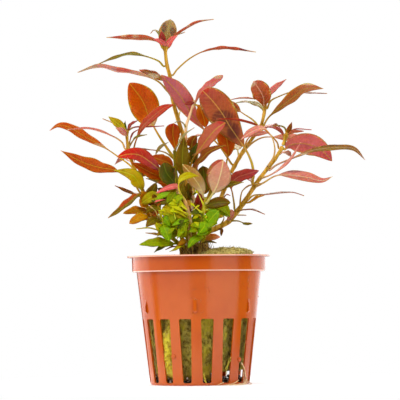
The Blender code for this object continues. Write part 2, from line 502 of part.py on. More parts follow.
    Leaf("left_shoot", 69.6, [(-14.2, -8.6, 72.6), (-11.6, -10.2, 74)], 0.2, 2.4, UP, LANCE, "green"),
    Leaf("left_shoot", 66.6, [(-12.6, -6.6, 68.4), (-8, -6.4, 67.4)],
         0.2, 4.4, (0, -1, 0.5), OVATE, "yellow"),
    Leaf("left_shoot", 60.4, [(-15.2, -9, 61.4), (-18.4, -11, 63), (-20.2, -12, 61.6)],
         0.2, 3.0, (0, -1, 0.5), OVATE, "olive"),
    Leaf("left_shoot", 59.4, [(-15, -11, 60.3), (-19, -14, 61.3), (-24, -16.6, 61)],
         0.2, 1.9, UP, LANCE, "yellow"),
    Leaf("left_shoot", 57.8, [(-14.4, -8, 58.6), (-20.4, -9.4, 59.4)], 0.2, 1.6, TILTED, LANCE, "blush"),
    Leaf("left_shoot", 62.8, [(-13.8, -10, 62.4), (-12.4, -12, 59.4), (-10.8, -13, 56.2)],
         0.15, 3.4, FRONT, LANCE, "green"),
    Leaf("left_shoot", 55, [(-12.2, -7, 54.9), (-14.6, -9, 53.5), (-17.2, -10.6, 51.8)],
         0.15, 3.0, TILTED, LANCE, "dark_green"),
    Leaf("left_shoot", 64.6, [(-12, -5.6, 65.4), (-9.6, -4.4, 63.4)], 0.15, 3.4, FRONT, OVATE, "green"),
    Leaf("front_shoot", 60.6, [(-7.6, -12.6, 62), (-5.2, -15, 64.4)],
         0.15, 3.0, (0, -1, 0.6), LANCE, "dark_green"),
    Leaf("front_shoot", 57, [(-5.8, -12.6, 59), (-4.8, -14.6, 63)], 0.15, 3.0, FRONT, LANCE, "green"),
    Leaf("front_shoot", 69.2, [(-8.6, -12.6, 71.8), (-5.6, -15, 73)],
         0.15, 4.4, (0, -1, 0.6), OVATE, "dark_green"),
    Leaf("front_shoot", 54.6, [(-6.4, -9.4, 55.8), (-7.9, -11.4, 54.8)], 0.15, 2.6, TILTED, OVATE, "ochre"),
    Leaf("front_shoot", 65.6, [(-10.2, -13, 67.4), (-13.6, -15.4, 68.8)],
         0.15, 3.4, (0, -1, 0.6), LANCE, "yellow"),
    Leaf("back_shoot", 60, [(2, 12, 62.4), (7, 15, 62)], 0.2, 3.8, LEVEL, OVATE, "green"),
    Leaf("back_shoot", 64, [(-7, 14, 66.4), (-12, 17, 66)], 0.2, 4.0, LEVEL, OVATE, "green"),
    Leaf("back_shoot", 67, [(-2, 16, 69.4), (-1, 22, 69)], 0.2, 4.2, UP, OVATE, "olive"),
    Leaf("back_shoot", 71, [(1.4, 14, 74.2), (5, 16, 76)], 0.2, 3.8, LEVEL, LANCE, "yellow"),
    Leaf("back_shoot", 71.6, [(-5.4, 13.4, 75), (-8, 14.6, 78)], 0.2, 3.6, LEVEL, LANCE, "green"),
    Leaf("back_shoot", 57, [(-8, 12, 58.4), (-13, 14.6, 57)], 0.2, 3.6, LEVEL, LANCE, "dark_green"),
]


def clear_scene():
    for obj in list(bpy.data.objects):
        bpy.data.objects.remove(obj)


def new_collection(name):
    collection = bpy.data.collections.new(name)
    bpy.context.scene.collection.children.link(collection)
    return collection


def material(name, colour, roughness):
    made = bpy.data.materials.get(name) or bpy.data.materials.new(name)
    made.use_nodes = True
    shader = made.node_tree.nodes["Principled BSDF"]
    shader.inputs["Base Color"].default_value = (*colour, 1)
    shader.inputs["Roughness"].default_value = roughness
    shader.inputs["Metallic"].default_value = 0
    made.diffuse_color = (*colour, 1)
    return made


def add_object(name, mesh, collection, finish=None):
    obj = bpy.data.objects.new(name, mesh)
    collection.objects.link(obj)
    if finish:
        mesh.materials.append(finish)
    return obj


def mesh_from(bm, name):
    bmesh.ops.recalc_face_normals(bm, faces=bm.faces)
    mesh = bpy.data.meshes.new(name)
    bm.to_mesh(mesh)
    bm.free()
    mesh.shade_smooth()
    return mesh


def as_helper(obj):
    """A cutter or a piece to be joined: out of the render, and drawn as wire."""
    obj.hide_render = True
    obj.display_type = "WIRE"
    return obj


def boolean(obj, operation, collection):
    modifier = obj.modifiers.new(operation.lower(), "BOOLEAN")
    modifier.operation = operation
    modifier.operand_type = "COLLECTION"
    modifier.collection = collection
    modifier.solver = "EXACT"


def wrapped_grid(columns, rows, place):
    """A grid rolled into a tube, with vertex (column, row) at place(column, row)."""
    bm = bmesh.new()
    bmesh.ops.create_grid(bm, x_segments=columns, y_segments=rows - 1, size=1)
    grid = sorted(bm.verts, key=lambda v: (round(v.co.y, 6), v.co.x))
    for row in range(rows):
        for column in range(columns + 1):
            grid[row * (columns + 1) + column].co = place(column % columns, row)
    return bm, grid


def close_tube(bm, name):
    """Sews the seam of a rolled grid and closes its open ends."""
    bmesh.ops.remove_doubles(bm, verts=bm.verts, dist=MERGE_DISTANCE)
    bmesh.ops.holes_fill(bm, edges=bm.edges, sides=0)
    return mesh_from(bm, name)


def seen(x, y, z):
    """World place, in metres, of a point shown at x, z by the front view and y behind the axis.

    The front view's heights are counted from SIGHT_DROP below the pot's foot.
    """
    spread = 1 + y / EYE_DISTANCE
    return Vector((x * spread, y, EYE_HEIGHT + (z - SIGHT_DROP - EYE_HEIGHT) * spread)) * MM


def front_height(place):
    """The height, in millimetres, at which the front view shows this place."""
    return SIGHT_DROP + EYE_HEIGHT + (place.z / MM - EYE_HEIGHT) / (1 + place.y / MM / EYE_DISTANCE)


def smooth_route(points, steps):
    """A curve through the points, with that many steps to each span."""
    ends = [2 * points[0] - points[1], *points, 2 * points[-1] - points[-2]]
    route = []
    for before, start, end, after in zip(ends, ends[1:], ends[2:], ends[3:]):
        for step in range(steps):
            t = step / steps
            line = 2 * start + (end - before) * t
            bend = (2 * before - 5 * start + 4 * end - after) * t**2
            twist = (3 * start - before - 3 * end + after) * t**3
            route.append((line + bend + twist) / 2)
    return [*route, points[-1].copy()]


def route_length(route):
    return sum((end - start).length for start, end in zip(route, route[1:]))


def along(route, share):
    """The point and the heading at this share of the route's length."""
    left = share * route_length(route)
    for start, end in zip(route, route[1:]):
        length = (end - start).length
        if left <= length or end is route[-1]:
            return start.lerp(end, min(left / length, 1)), (end - start).normalized()
        left -= length


def fine_stem_route(stem):
    return smooth_route([seen(*point) for point in stem.points], STEM_ROUTE_STEPS)


def stem_route(stem):
    """The stem's centreline, with a point every STEM_STEP or so."""
    fine = fine_stem_route(stem)
    steps = round(route_length(fine) / (STEM_STEP * MM))
    return [along(fine, i / steps)[0] for i in range(steps + 1)]


def stem_at(stem, height):
    """Centre, heading and radius of the stem where the front view shows it at this height."""
    route = fine_stem_route(stem)
    index = min(range(len(route) - 1), key=lambda i: abs(front_height(route[i]) - height))
    share = index / (len(route) - 1)
    radius = (stem.foot_radius + (stem.tip_radius - stem.foot_radius) * share) * MM
    return route[index], (route[index + 1] - route[index]).normalized(), radius


def tube_object(name, route, foot_radius, tip_radius, collection, finish):
    """A tapering round rod along the route, as one closed mesh."""
    curve = bpy.data.curves.new(name + "_curve", "CURVE")
    curve.dimensions = "3D"
    curve.bevel_depth = 1.0
    curve.bevel_resolution = ROD_RESOLUTION
    curve.use_fill_caps = True
    spline = curve.splines.new("POLY")
    spline.points.add(len(route) - 1)
    for index, (point, place) in enumerate(zip(spline.points, route)):
        point.co = (*place, 1)
        share = index / (len(route) - 1)
        point.radius = (foot_radius + (tip_radius - foot_radius) * share) * MM
    guide = bpy.data.objects.new(name + "_guide", curve)
    bpy.context.scene.collection.objects.link(guide)
    graph = bpy.context.evaluated_depsgraph_get()
    bm = bmesh.new()
    bm.from_mesh(guide.evaluated_get(graph).to_mesh())
    bmesh.ops.remove_doubles(bm, verts=bm.verts, dist=MERGE_DISTANCE)
    bpy.data.objects.remove(guide)
    return add_object(name, mesh_from(bm, name), collection, finish)


def make_stem(name, stem, collection):
    finish = material(stem.tone, TONES[stem.tone], STEM_ROUGHNESS)
    return tube_object(name, stem_route(stem), stem.foot_radius, stem.tip_radius, collection, finish)


def half_width(leaf, t):
    """Half of the leaf's width in millimetres, from the foot of its petiole at 0 to its tip at 1."""
    petiole = PETIOLE_HALF_WIDTH * (1 - t)
    if t <= leaf.petiole:
        return max(petiole, TIP_HALF_WIDTH)
    s = min((t - leaf.petiole) / (1 - leaf.petiole), 1)
    bulge = max(math.sin(math.pi * s ** leaf.form.belly), 0)
    blade = leaf.width / 2 * bulge ** leaf.form.fullness
    return max(math.hypot(petiole, blade), TIP_HALF_WIDTH)


def stations(leaf, length, blade_steps):
    """Shares of the leaf's length at which its section is drawn."""
    petiole_steps = max(1, round(leaf.petiole * length / (PETIOLE_STEP * MM)))
    petiole_part = [leaf.petiole * i / petiole_steps for i in range(petiole_steps)]
    blade_part = [leaf.petiole + (1 - leaf.petiole) * i / blade_steps for i in range(blade_steps + 1)]
    return petiole_part + blade_part


def leaf_midrib(leaf, fused):
    """The midrib's route, whose foot is on the stem's centreline, or stands just clear of its surface."""
    centre, heading, radius = stem_at(STEMS[leaf.stem], leaf.foot_z)
    points = [seen(*point) for point in leaf.points]
    away = points[0] - centre
    away = (away - away.dot(heading) * heading).normalized()
    clear = 0 if fused else radius + (GAP + LEAF_THICKNESS) * MM
    return smooth_route([centre + away * clear, *points], LEAF_ROUTE_STEPS)


def section(leaf, middle, heading, share):
    """Left edge, crest, right edge and keel: thickest at the midrib and folded along it."""
    up = Vector(leaf.face)
    up = (up - up.dot(heading) * heading).normalized()
    side = heading.cross(up)
    reach = (half_width(leaf, share) if share > 0 else FOOT_HALF_WIDTH) * MM
    fold = math.radians(leaf.form.fold)
    edge = side * reach * math.cos(fold)
    lift = up * reach * math.sin(fold) * min(share / FOLDED_FROM, 1)
    thick = up * LEAF_THICKNESS / 2 * MM
    return [middle - edge + lift, middle + thick, middle + edge + lift, middle - thick]


def leaf_mesh(leaf, fused, blade_steps, name):
    """A flattened four-cornered tube along the midrib."""
    route = leaf_midrib(leaf, fused)
    shares = stations(leaf, route_length(route), blade_steps)
    sections = [section(leaf, *along(route, share), share) for share in shares]
    bm, grid = wrapped_grid(SECTION_CORNERS, len(shares), lambda column, row: sections[row][column])
    # Every face is split from the blade's edge to its midrib, so that both sides of the blade fold alike.
    per_row = SECTION_CORNERS + 1
    for row in range(len(shares) - 1):
        for outer, inner in ((0, 1), (2, 1), (2, 3), (4, 3)):
            ends = [grid[row * per_row + outer], grid[(row + 1) * per_row + inner]]
            bmesh.ops.connect_vert_pair(bm, verts=ends)
    return close_tube(bm, name)


def make_leaf(name, leaf, fused, collection):
    steps = SMALL_LEAF_STEPS if fused else LARGE_LEAF_STEPS
    finish = material(leaf.tone, TONES[leaf.tone], LEAF_ROUGHNESS)
    return add_object(name, leaf_mesh(leaf, fused, steps, name), collection, finish)


def make_plant(plant):
    for name, stem in STEMS.items():
        obj = make_stem(name, stem, plant)
        leaves = new_collection(name + "_small_leaves")
        for index, leaf in enumerate(leaf for leaf in SMALL_LEAVES if leaf.stem == name):
            as_helper(make_leaf(f"{name}_small_leaf_{index}", leaf, True, leaves))
        boolean(obj, "UNION", leaves)
    for name, leaf in LARGE_LEAVES.items():
        make_leaf(name, leaf, False, plant)


def turned(name, profile, segments, collection, finish):
    """An open profile of (radius, height) points that starts and ends on the Z axis, turned about it."""
    mesh = bpy.data.meshes.new(name)
    corners = [(radius * MM, 0, height * MM) for radius, height in profile]
    mesh.from_pydata(corners, [(i, i + 1) for i in range(len(corners) - 1)], [])
    obj = add_object(name, mesh, collection, finish)
    screw = obj.modifiers.new("turn", "SCREW")
    screw.steps = segments
    screw.render_steps = segments
    screw.use_merge_vertices = True
    screw.merge_threshold = SCREW_MERGE_DISTANCE
    return obj


def wall_radius(height):
    """Outer radius of the tapered wall, in millimetres."""
    return (FOOT_DIAMETER + (NECK_DIAMETER - FOOT_DIAMETER) * min(height / NECK_Z, 1)) / 2


def pot_profile():
    band = BAND_DIAMETER / 2
    rim = RIM_DIAMETER / 2
    inside = band - WALL
    return [
        (0, WALL),
        (wall_radius(WALL) - WALL, WALL),
        (wall_radius(SLOT_TOP_Z) - WALL, SLOT_TOP_Z),
        (wall_radius(NECK_Z) - WALL, NECK_Z),
        (inside, NECK_Z + WALL),
        (inside, POT_HEIGHT),
        (rim, POT_HEIGHT),
        (rim, FLANGE_Z),
        (band, FLANGE_Z),
        (band - BAND_TAPER, NECK_Z),
        (wall_radius(NECK_Z), NECK_Z),
        (wall_radius(SLOT_TOP_Z), SLOT_TOP_Z),
        (wall_radius(SLOT_FOOT_Z), SLOT_FOOT_Z),
        (wall_radius(0) - FOOT_CHAMFER, 0),
        (0, 0),
    ]


def box_cutter(name, corner, angle, collection):
    """A cube whose corners, given as half units, go to corner(x, y, z), turned about the Z axis."""
    bm = bmesh.new()
    bmesh.ops.create_cube(bm, size=1)
    for vertex in bm.verts:
        vertex.co = Vector(corner(*vertex.co)) * MM
    cutter = as_helper(add_object(name, mesh_from(bm, name), collection))
    cutter.rotation_euler.z = angle


def wall_slot_corner(x, y, z):
    """A wedge through the wall that narrows downwards."""
    reach = wall_radius(SLOT_TOP_Z) + SLOT_CUT_BEYOND if x > 0 else wall_radius(0) - SLOT_CUT_INSIDE
    if z > 0:
        return reach, y * SLOT_TOP_WIDTH, SLOT_TOP_Z
    return reach, y * SLOT_FOOT_WIDTH, SLOT_FOOT_Z


def floor_slot_corner(x, y, z):
    reach = FLOOR_SLOT_OUTER if x > 0 else FLOOR_SLOT_INNER
    return reach, y * FLOOR_SLOT_WIDTH, z * FLOOR_CUT_HEIGHT


def make_pot(plant):
    finish = material("terracotta_plastic", POT_COLOUR, POT_ROUGHNESS)
    pot = turned("pot", pot_profile(), POT_SEGMENTS, plant, finish)
    cutters = new_collection("pot_cutters")
    for index in range(SLOTS):
        angle = math.radians(FIRST_SLOT_DEGREES - 90 + index * 360 / SLOTS)
        box_cutter(f"wall_slot_cutter_{index}", wall_slot_corner, angle, cutters)
    for index in range(FLOOR_SLOTS):
        angle = math.radians((index + 0.5) * 360 / FLOOR_SLOTS)
        box_cutter(f"floor_slot_cutter_{index}", floor_slot_corner, angle, cutters)
    boolean(pot, "DIFFERENCE", cutters)


def wool_radius(height, angle):
    """Radius of the lumpy plug in millimetres: loose in the tapered wall, with upright folds."""
    lumps = WOOL_LUMP_SHARE * math.sin(WOOL_LUMPS * angle + WOOL_LUMP_TURN)
    folds = WOOL_FOLD_SHARE * math.sin(WOOL_FOLDS * angle + WOOL_FOLD_TWIST * height)
    foot = max(0.0, 1 - (height - WOOL_FOOT_Z) / WOOL_FOOT_ROUNDING)
    inside = wall_radius(height) - WALL - WOOL_CLEARANCE
    return inside + WOOL_RELIEF * (lumps + folds - 1) / 2 - WOOL_FOOT_INSET * foot**2


def wool_top(x, y):
    """Height of the plug's mossy top in millimetres."""
    gap = math.hypot(x - MOSS_CENTRE[0], y - MOSS_CENTRE[1])
    ripple = MOSS_RIPPLE * math.sin(MOSS_RIPPLE_TURNS[0] * x) * math.cos(MOSS_RIPPLE_TURNS[1] * y)
    return WOOL_TOP_Z + MOSS_RISE * math.exp(-(gap / MOSS_SPREAD) ** 2) + ripple


def wool_place(column, row):
    """Rings up the plug's side, then rings that shrink to the middle of its domed top."""
    angle = math.tau * column / WOOL_SEGMENTS
    if row < len(WOOL_SIDE_HEIGHTS):
        radius = wool_radius(WOOL_SIDE_HEIGHTS[row], angle)
        return Vector((radius * math.cos(angle), radius * math.sin(angle), WOOL_SIDE_HEIGHTS[row])) * MM
    share = 1 - (row - len(WOOL_SIDE_HEIGHTS)) / WOOL_TOP_RINGS
    radius = wool_radius(WOOL_SIDE_HEIGHTS[-1], angle) * share
    x, y = radius * math.cos(angle), radius * math.sin(angle)
    return Vector((x, y, wool_top(x, y))) * MM


def make_rockwool(plant):
    bm, _ = wrapped_grid(WOOL_SEGMENTS, len(WOOL_SIDE_HEIGHTS) + WOOL_TOP_RINGS + 1, wool_place)
    finish = material("rockwool_moss", WOOL_COLOUR, WOOL_ROUGHNESS)
    add_object("rockwool", close_tube(bm, "rockwool"), plant, finish)


def make_root_crown(plant):
    """A low knot of roots: a flattened sphere with a lumpy skin, sitting just clear of the plug."""
    bm = bmesh.new()
    bmesh.ops.create_uvsphere(bm, u_segments=CROWN_SEGMENTS, v_segments=CROWN_RINGS, radius=1)
    for vertex in bm.verts:
        angle = math.atan2(vertex.co.y, vertex.co.x)
        lobes = CROWN_LOBE_SHARE * math.sin(CROWN_LOBES * angle)
        knobs = CROWN_KNOB_SHARE * math.sin(CROWN_KNOBS * angle + CROWN_KNOB_TURN)
        radius = CROWN_RADIUS * (1 + lobes + knobs)
        x = CROWN_CENTRE[0] + vertex.co.x * radius
        y = CROWN_CENTRE[1] + vertex.co.y * radius
        rise = CROWN_THICKNESS * (1 + vertex.co.z) / 2 + CROWN_HEIGHT * max(vertex.co.z, 0)
        vertex.co = Vector((x, y, wool_top(x, y) + CROWN_GAP + rise)) * MM
    finish = material("old_roots", CROWN_COLOUR, WOOL_ROUGHNESS)
    add_object("root_crown", mesh_from(bm, "root_crown"), plant, finish)


def make_trailing_root(plant):
    """A pale root that leaves a slot on the right and runs down and left along the pot's foot."""
    places = []
    for degrees, clearance, z in TRAILING_ROOT:
        x = ROOT_REACH * math.sin(math.radians(degrees))
        y = -ROOT_REACH * math.cos(math.radians(degrees)) - clearance
        places.append(Vector((x, y, z)) * MM)
    route = smooth_route(places, ROOT_ROUTE_STEPS)
    finish = material("pale_root", ROOT_COLOUR, ROOT_ROUGHNESS)
    tube_object("trailing_root", route, ROOT_RADIUS, ROOT_TIP_RADIUS, plant, finish)


def main():
    clear_scene()
    plant = new_collection("potted_ludwigia")
    make_pot(plant)
    make_rockwool(plant)
    make_root_crown(plant)
    make_trailing_root(plant)
    make_plant(plant)


main()
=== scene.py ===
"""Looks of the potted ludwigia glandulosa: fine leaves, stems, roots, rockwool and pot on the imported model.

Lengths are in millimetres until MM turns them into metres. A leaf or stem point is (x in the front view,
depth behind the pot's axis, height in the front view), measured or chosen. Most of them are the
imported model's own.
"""

import math
from collections import namedtuple

import bpy
import numpy as np
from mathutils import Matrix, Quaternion, Vector


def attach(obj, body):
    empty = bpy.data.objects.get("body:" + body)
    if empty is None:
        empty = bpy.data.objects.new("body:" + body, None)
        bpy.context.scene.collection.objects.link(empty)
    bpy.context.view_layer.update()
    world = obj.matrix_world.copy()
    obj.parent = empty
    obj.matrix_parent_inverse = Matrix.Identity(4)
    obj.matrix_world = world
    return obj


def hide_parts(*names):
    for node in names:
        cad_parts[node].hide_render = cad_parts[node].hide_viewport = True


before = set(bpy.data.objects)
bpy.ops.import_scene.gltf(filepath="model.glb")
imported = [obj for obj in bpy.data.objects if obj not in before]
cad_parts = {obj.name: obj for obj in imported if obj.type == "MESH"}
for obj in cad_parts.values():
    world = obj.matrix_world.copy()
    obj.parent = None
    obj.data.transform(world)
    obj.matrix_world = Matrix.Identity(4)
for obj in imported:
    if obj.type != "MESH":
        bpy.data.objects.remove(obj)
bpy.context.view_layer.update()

MM = 0.001
UP_AXIS = np.array((0.0, 0.0, 1.0))

# Camera, measured from the pot's rim and the picture's centre
EYE_DISTANCE = 900.0
EYE_HEIGHT = 31.1
SIGHT_DROP = 0.9
PICTURE_CENTRE = (0.8, 70.9)
CAMERA_LENS = 210.0
CAMERA_ROLL = 0.7

# Pot
POT_HEIGHT = 49.4
RIM_RADIUS = 27.5
BAND_RADIUS = 25.65
NECK_RADIUS = 24.0
FOOT_RADIUS = 19.1
WALL = 0.65
RIM_THICKNESS = 0.55
FLANGE_Z = POT_HEIGHT - RIM_THICKNESS
NECK_Z = 43.2
SLOTS = 16
SLOT_FOOT_Z = 0.95
SLOT_TOP_Z = 25.2
SLOT_TOP_WIDTH = 4.9
SLOT_FOOT_WIDTH = 3.3
FIRST_SLOT_DEGREES = 8.0

# Plant
PETIOLE_HALF_WIDTH = 0.45
PETIOLE_HALF_DEPTH = 0.34
BLADE_HALF_DEPTH = 0.11
TIP_HALF_WIDTH = 0.05
LEAF_GAP = 0.72
FOLDED_FROM = 0.5
VEIN_STEP = 2.1
VEIN_SLANT = 0.55
VEIN_BOW = 0.13
VEIN_RELIEF = 0.05
RIB_SPREAD = 0.42
RIPPLE = (0.05, 0.13)
MOST_CURL = 0.16
RIB_LEAF_WIDTH = 6.5
LEAF_STEP = 0.6
LEAF_COLUMNS = 17
FUSED_LEAF_STEP = 0.75
FUSED_LEAF_COLUMNS = 11
LEAF_ROWS = (14, 64)
THICK_FROM_WIDTH = 7.5

# Pot details
POT_COLUMNS = 128
SLOT_COLUMNS = 2
SLOT_CORNER = 0.6
FLOOR_SLOTS = 8
FLOOR_SLOT_WIDTH = 2.6
FLOOR_SLOT_COLUMNS = 3
FLOOR_SLOT_SHIFT = 5
FLOOR_SLOT_TURN = 14.5 - FLOOR_SLOT_SHIFT * 360 / POT_COLUMNS
FLOOR_SLOT_INNER = 6.0
FLOOR_SLOT_OUTER = 15.0
FLOOR_RADII = (0.6, 3.0, 6.0, 7.0, 9.0, 11.0, 13.0, 15.0)
FLOOR_EDGE_RADIUS = 17.2
WALL_HEIGHTS = (26.6, 30.0, 34.0, 38.0, 41.0, NECK_Z)
POT_BEVEL = 0.18
WEDGES = 6
WEDGE_DEGREES = -4
# Height, how far it is proud of the wall, and width of a wedge at its four levels
WEDGE_LEVELS = ((32.5, 0.03, 1.3), (29.7, 0.75, 1.2), (28.1, 0.8, 1.1), (27.3, 0.1, 0.9))
# Degrees to the right of the front and height of each round boss
BOSSES = ((-29, 11.1), (47.5, 9.6))
BOSS_RADIUS = 0.9
BOSS_SIDES = 20
# How far proud of the wall, and share of the radius, at each ring of a boss
BOSS_RINGS = ((-0.4, 1.0), (0.25, 1.0), (0.42, 0.8), (0.45, 0.3))
DROP_SIDES = 14
# Share of the drop's size, and how far proud of the wall, at each ring of a drop
DROP_RINGS = ((1.0, -0.05), (0.85, 0.06), (0.55, 0.12), (0.15, 0.15))
FINE_DROPS = 60
# Degrees to the right of the front, height, width, tallness and slant of the marks on the wall
DROPS = ((-7.5, 33, 1.6, 0.5, 10), (-3.2, 32.7, 1.3, 0.5, -25), (-4.2, 36.3, 1.8, 0.45, 15),
         (1.5, 32.3, 0.7, 1.2, 30), (8.5, 36.7, 0.9, 0.5, -30), (9.5, 35.4, 0.5, 1.0, 0),
         (-6.8, 27.5, 1.4, 0.45, -15), (2.4, 27.7, 1.7, 0.5, 20), (-4.4, 30.3, 0.8, 2.6, 0),
         (52.5, 40.1, 0.9, 2.4, -18), (54.5, 38.7, 0.5, 1.2, 10), (53, 36.3, 0.45, 0.9, 0),
         (22, 11.3, 1.3, 0.5, 8), (23.5, 10.3, 0.5, 1.2, 5), (57, 16.1, 0.6, 1.3, 12),
         (-27, 28.1, 0.4, 0.8, 0))

# Rockwool and crown
WOOL_INSET = 1.2
WOOL_CLEARANCE = 1.3
WOOL_LUMPS = 9
WOOL_LUMP_SHARE = 0.6
WOOL_LUMP_TURN = 0.8
WOOL_FOLDS = 5
WOOL_FOLD_SHARE = 0.4
WOOL_FOLD_TWIST = 0.12
WOOL_RELIEF = 0.7
WOOL_FOOT_Z = 1.6
WOOL_FOOT_ROUNDING = 6
WOOL_FOOT_INSET = 1.5
WOOL_TOP_Z = 48.7
WOOL_TOP_RADIUS = 21.3
MOSS_CENTRE = (11.5, -3)
MOSS_RISE = 3.4
MOSS_SPREAD = 11.5
BULGE = 2.3
BULGE_DEGREES = -40
BULGE_HALF = 9
BULGE_TOP_Z = 22
# The plug has gone to the right of this place, below these heights
MISSING_FOOT_X = 3.8
MISSING_FOOT_Z = (4.7, 5.6)
# Heights in metres between which the moss sets in
MOSS_LEVELS = (0.0484, 0.0492)
FIBRES = 4200
TUFTS = 2000
GRAINS = 1400
CROWN_CENTRE = (-0.8, -0.5)
CROWN_RADII = (5.6, 5.2)
CROWN_RISE = 3.0

# Roots outside the pot: thickness, then stations of (degrees to the right of the front, millimetres
# beyond the wall's foot, height)
LOOSE_ROOTS = (
    (0.3, ((53.5, 0.3, 8.4), (55, 1.1, 6.8), (59, 0.9, 4.4), (61, 0.8, 2.2), (58, 1.2, 0.8), (46, 2.6, 0.4),
           (33, 4.4, 0.35), (26, 5.4, 0.3))),
    (0.2, ((49, 0.3, 1.9), (43, 0.8, 1.1), (36, 1.4, 0.6), (30, 1.6, 0.35), (24, 2.4, 0.3))),
    (0.16, ((27, 0.4, 1.1), (22, 0.9, 0.6), (18, 1.8, 0.3))),
    (0.14, ((60, 0.6, 3), (62, 1, 1.2), (55, 2.4, 0.4), (42, 4.6, 0.3), (30, 6.4, 0.25))),
    (0.12, ((57, 0.6, 1.6), (50, 2.2, 0.4), (40, 3.4, 0.25), (30, 3.2, 0.25), (20, 3.6, 0.2))),
    (0.12, ((61, 0.9, 2), (64, 1.8, 0.6), (60, 3.4, 0.25), (48, 5.6, 0.2))),
    (0.1, ((56, 0.9, 5), (52, 1.8, 2.4), (50, 3, 0.5), (41, 4.2, 0.2), (35, 6.2, 0.2))),
)
# Yellow strands of the rockwool that hang in the slots: thickness, then (degrees, height) along each
LOOSE_STRANDS = (
    (0.14, ((4.4, 5), (5.2, 3.4), (6.2, 2), (7.8, 0.3))),
    (0.12, ((3.6, 4.6), (4.6, 2.8), (5.4, 1.6), (8.4, 0.7))),
    (0.13, ((39, 10.2), (35, 9.2), (31.6, 6.6), (30.4, 4.6))),
    (0.1, ((38, 9.4), (33.6, 8.6), (31, 5.8), (30.8, 3.9))),
    (0.12, ((36, 10.6), (33, 9.4), (31.8, 7.6), (29, 6.2))),
    (0.12, ((-54.6, 7.8), (-56.6, 6.4), (-57.2, 4.6))),
)

# Lights. A panel is (degrees to the right of the camera, half width in degrees, sine of its lowest and
# of its highest height, strength).
FLOOR_HALF = 130.0
ROOM_LIGHT = 0.12
TOP_LIGHT = 1.5
PANELS = ((-126, 30, -0.08, 0.6, 1.9), (-59, 36, -0.08, 0.6, 0.8), (47, 24, -0.08, 0.6, 1.4),
          (141, 38, -0.08, 0.6, 1.4), (-51, 36, -0.85, -0.12, 1.35), (0, 14, -0.85, -0.12, 0.6),
          (48, 33, -0.85, -0.12, 1.5), (145, 33, -0.85, -0.12, 1.3),
          (-140, 38, -0.85, -0.12, 2.1))
# Name, place and aim in metres, size, power and colour
LAMPS = (
    ("key", (-0.75, -0.6, 0.75), (0, 0, 0.07), 0.6, 8, (1, 0.98, 0.95)),
    ("fill", (0.8, -0.5, 0.4), (0, 0, 0.07), 0.5, 2, (0.95, 0.98, 1)),
    ("back", (0.1, 0.8, 0.7), (0, 0, 0.1), 0.5, 4, (1, 1, 1)),
)

# Ways that a blade's upper side can face
UP = (0, -0.3, 1)
LEVEL = (0, 0.1, 1)
FRONT = (0, -1, 0.15)
BACK = (0, 1, 0.2)
TILTED = (0, -0.8, 0.9)
TURNED_AWAY = (0, 0.6, 1)

Form = namedtuple("Form", "belly fullness fold")
LANCE = Form(0.85, 1.05, 18)
OVATE = Form(0.95, 0.72, 12)
ROUND = Form(1.0, 0.55, 14)
NARROW = Form(0.9, 1.2, 25)
CUPPED = Form(0.9, 0.8, 32)

Stem = namedtuple("Stem", "points foot_radius tip_radius tone")
Leaf = namedtuple("Leaf", "stem foot_z points petiole width face form tone")

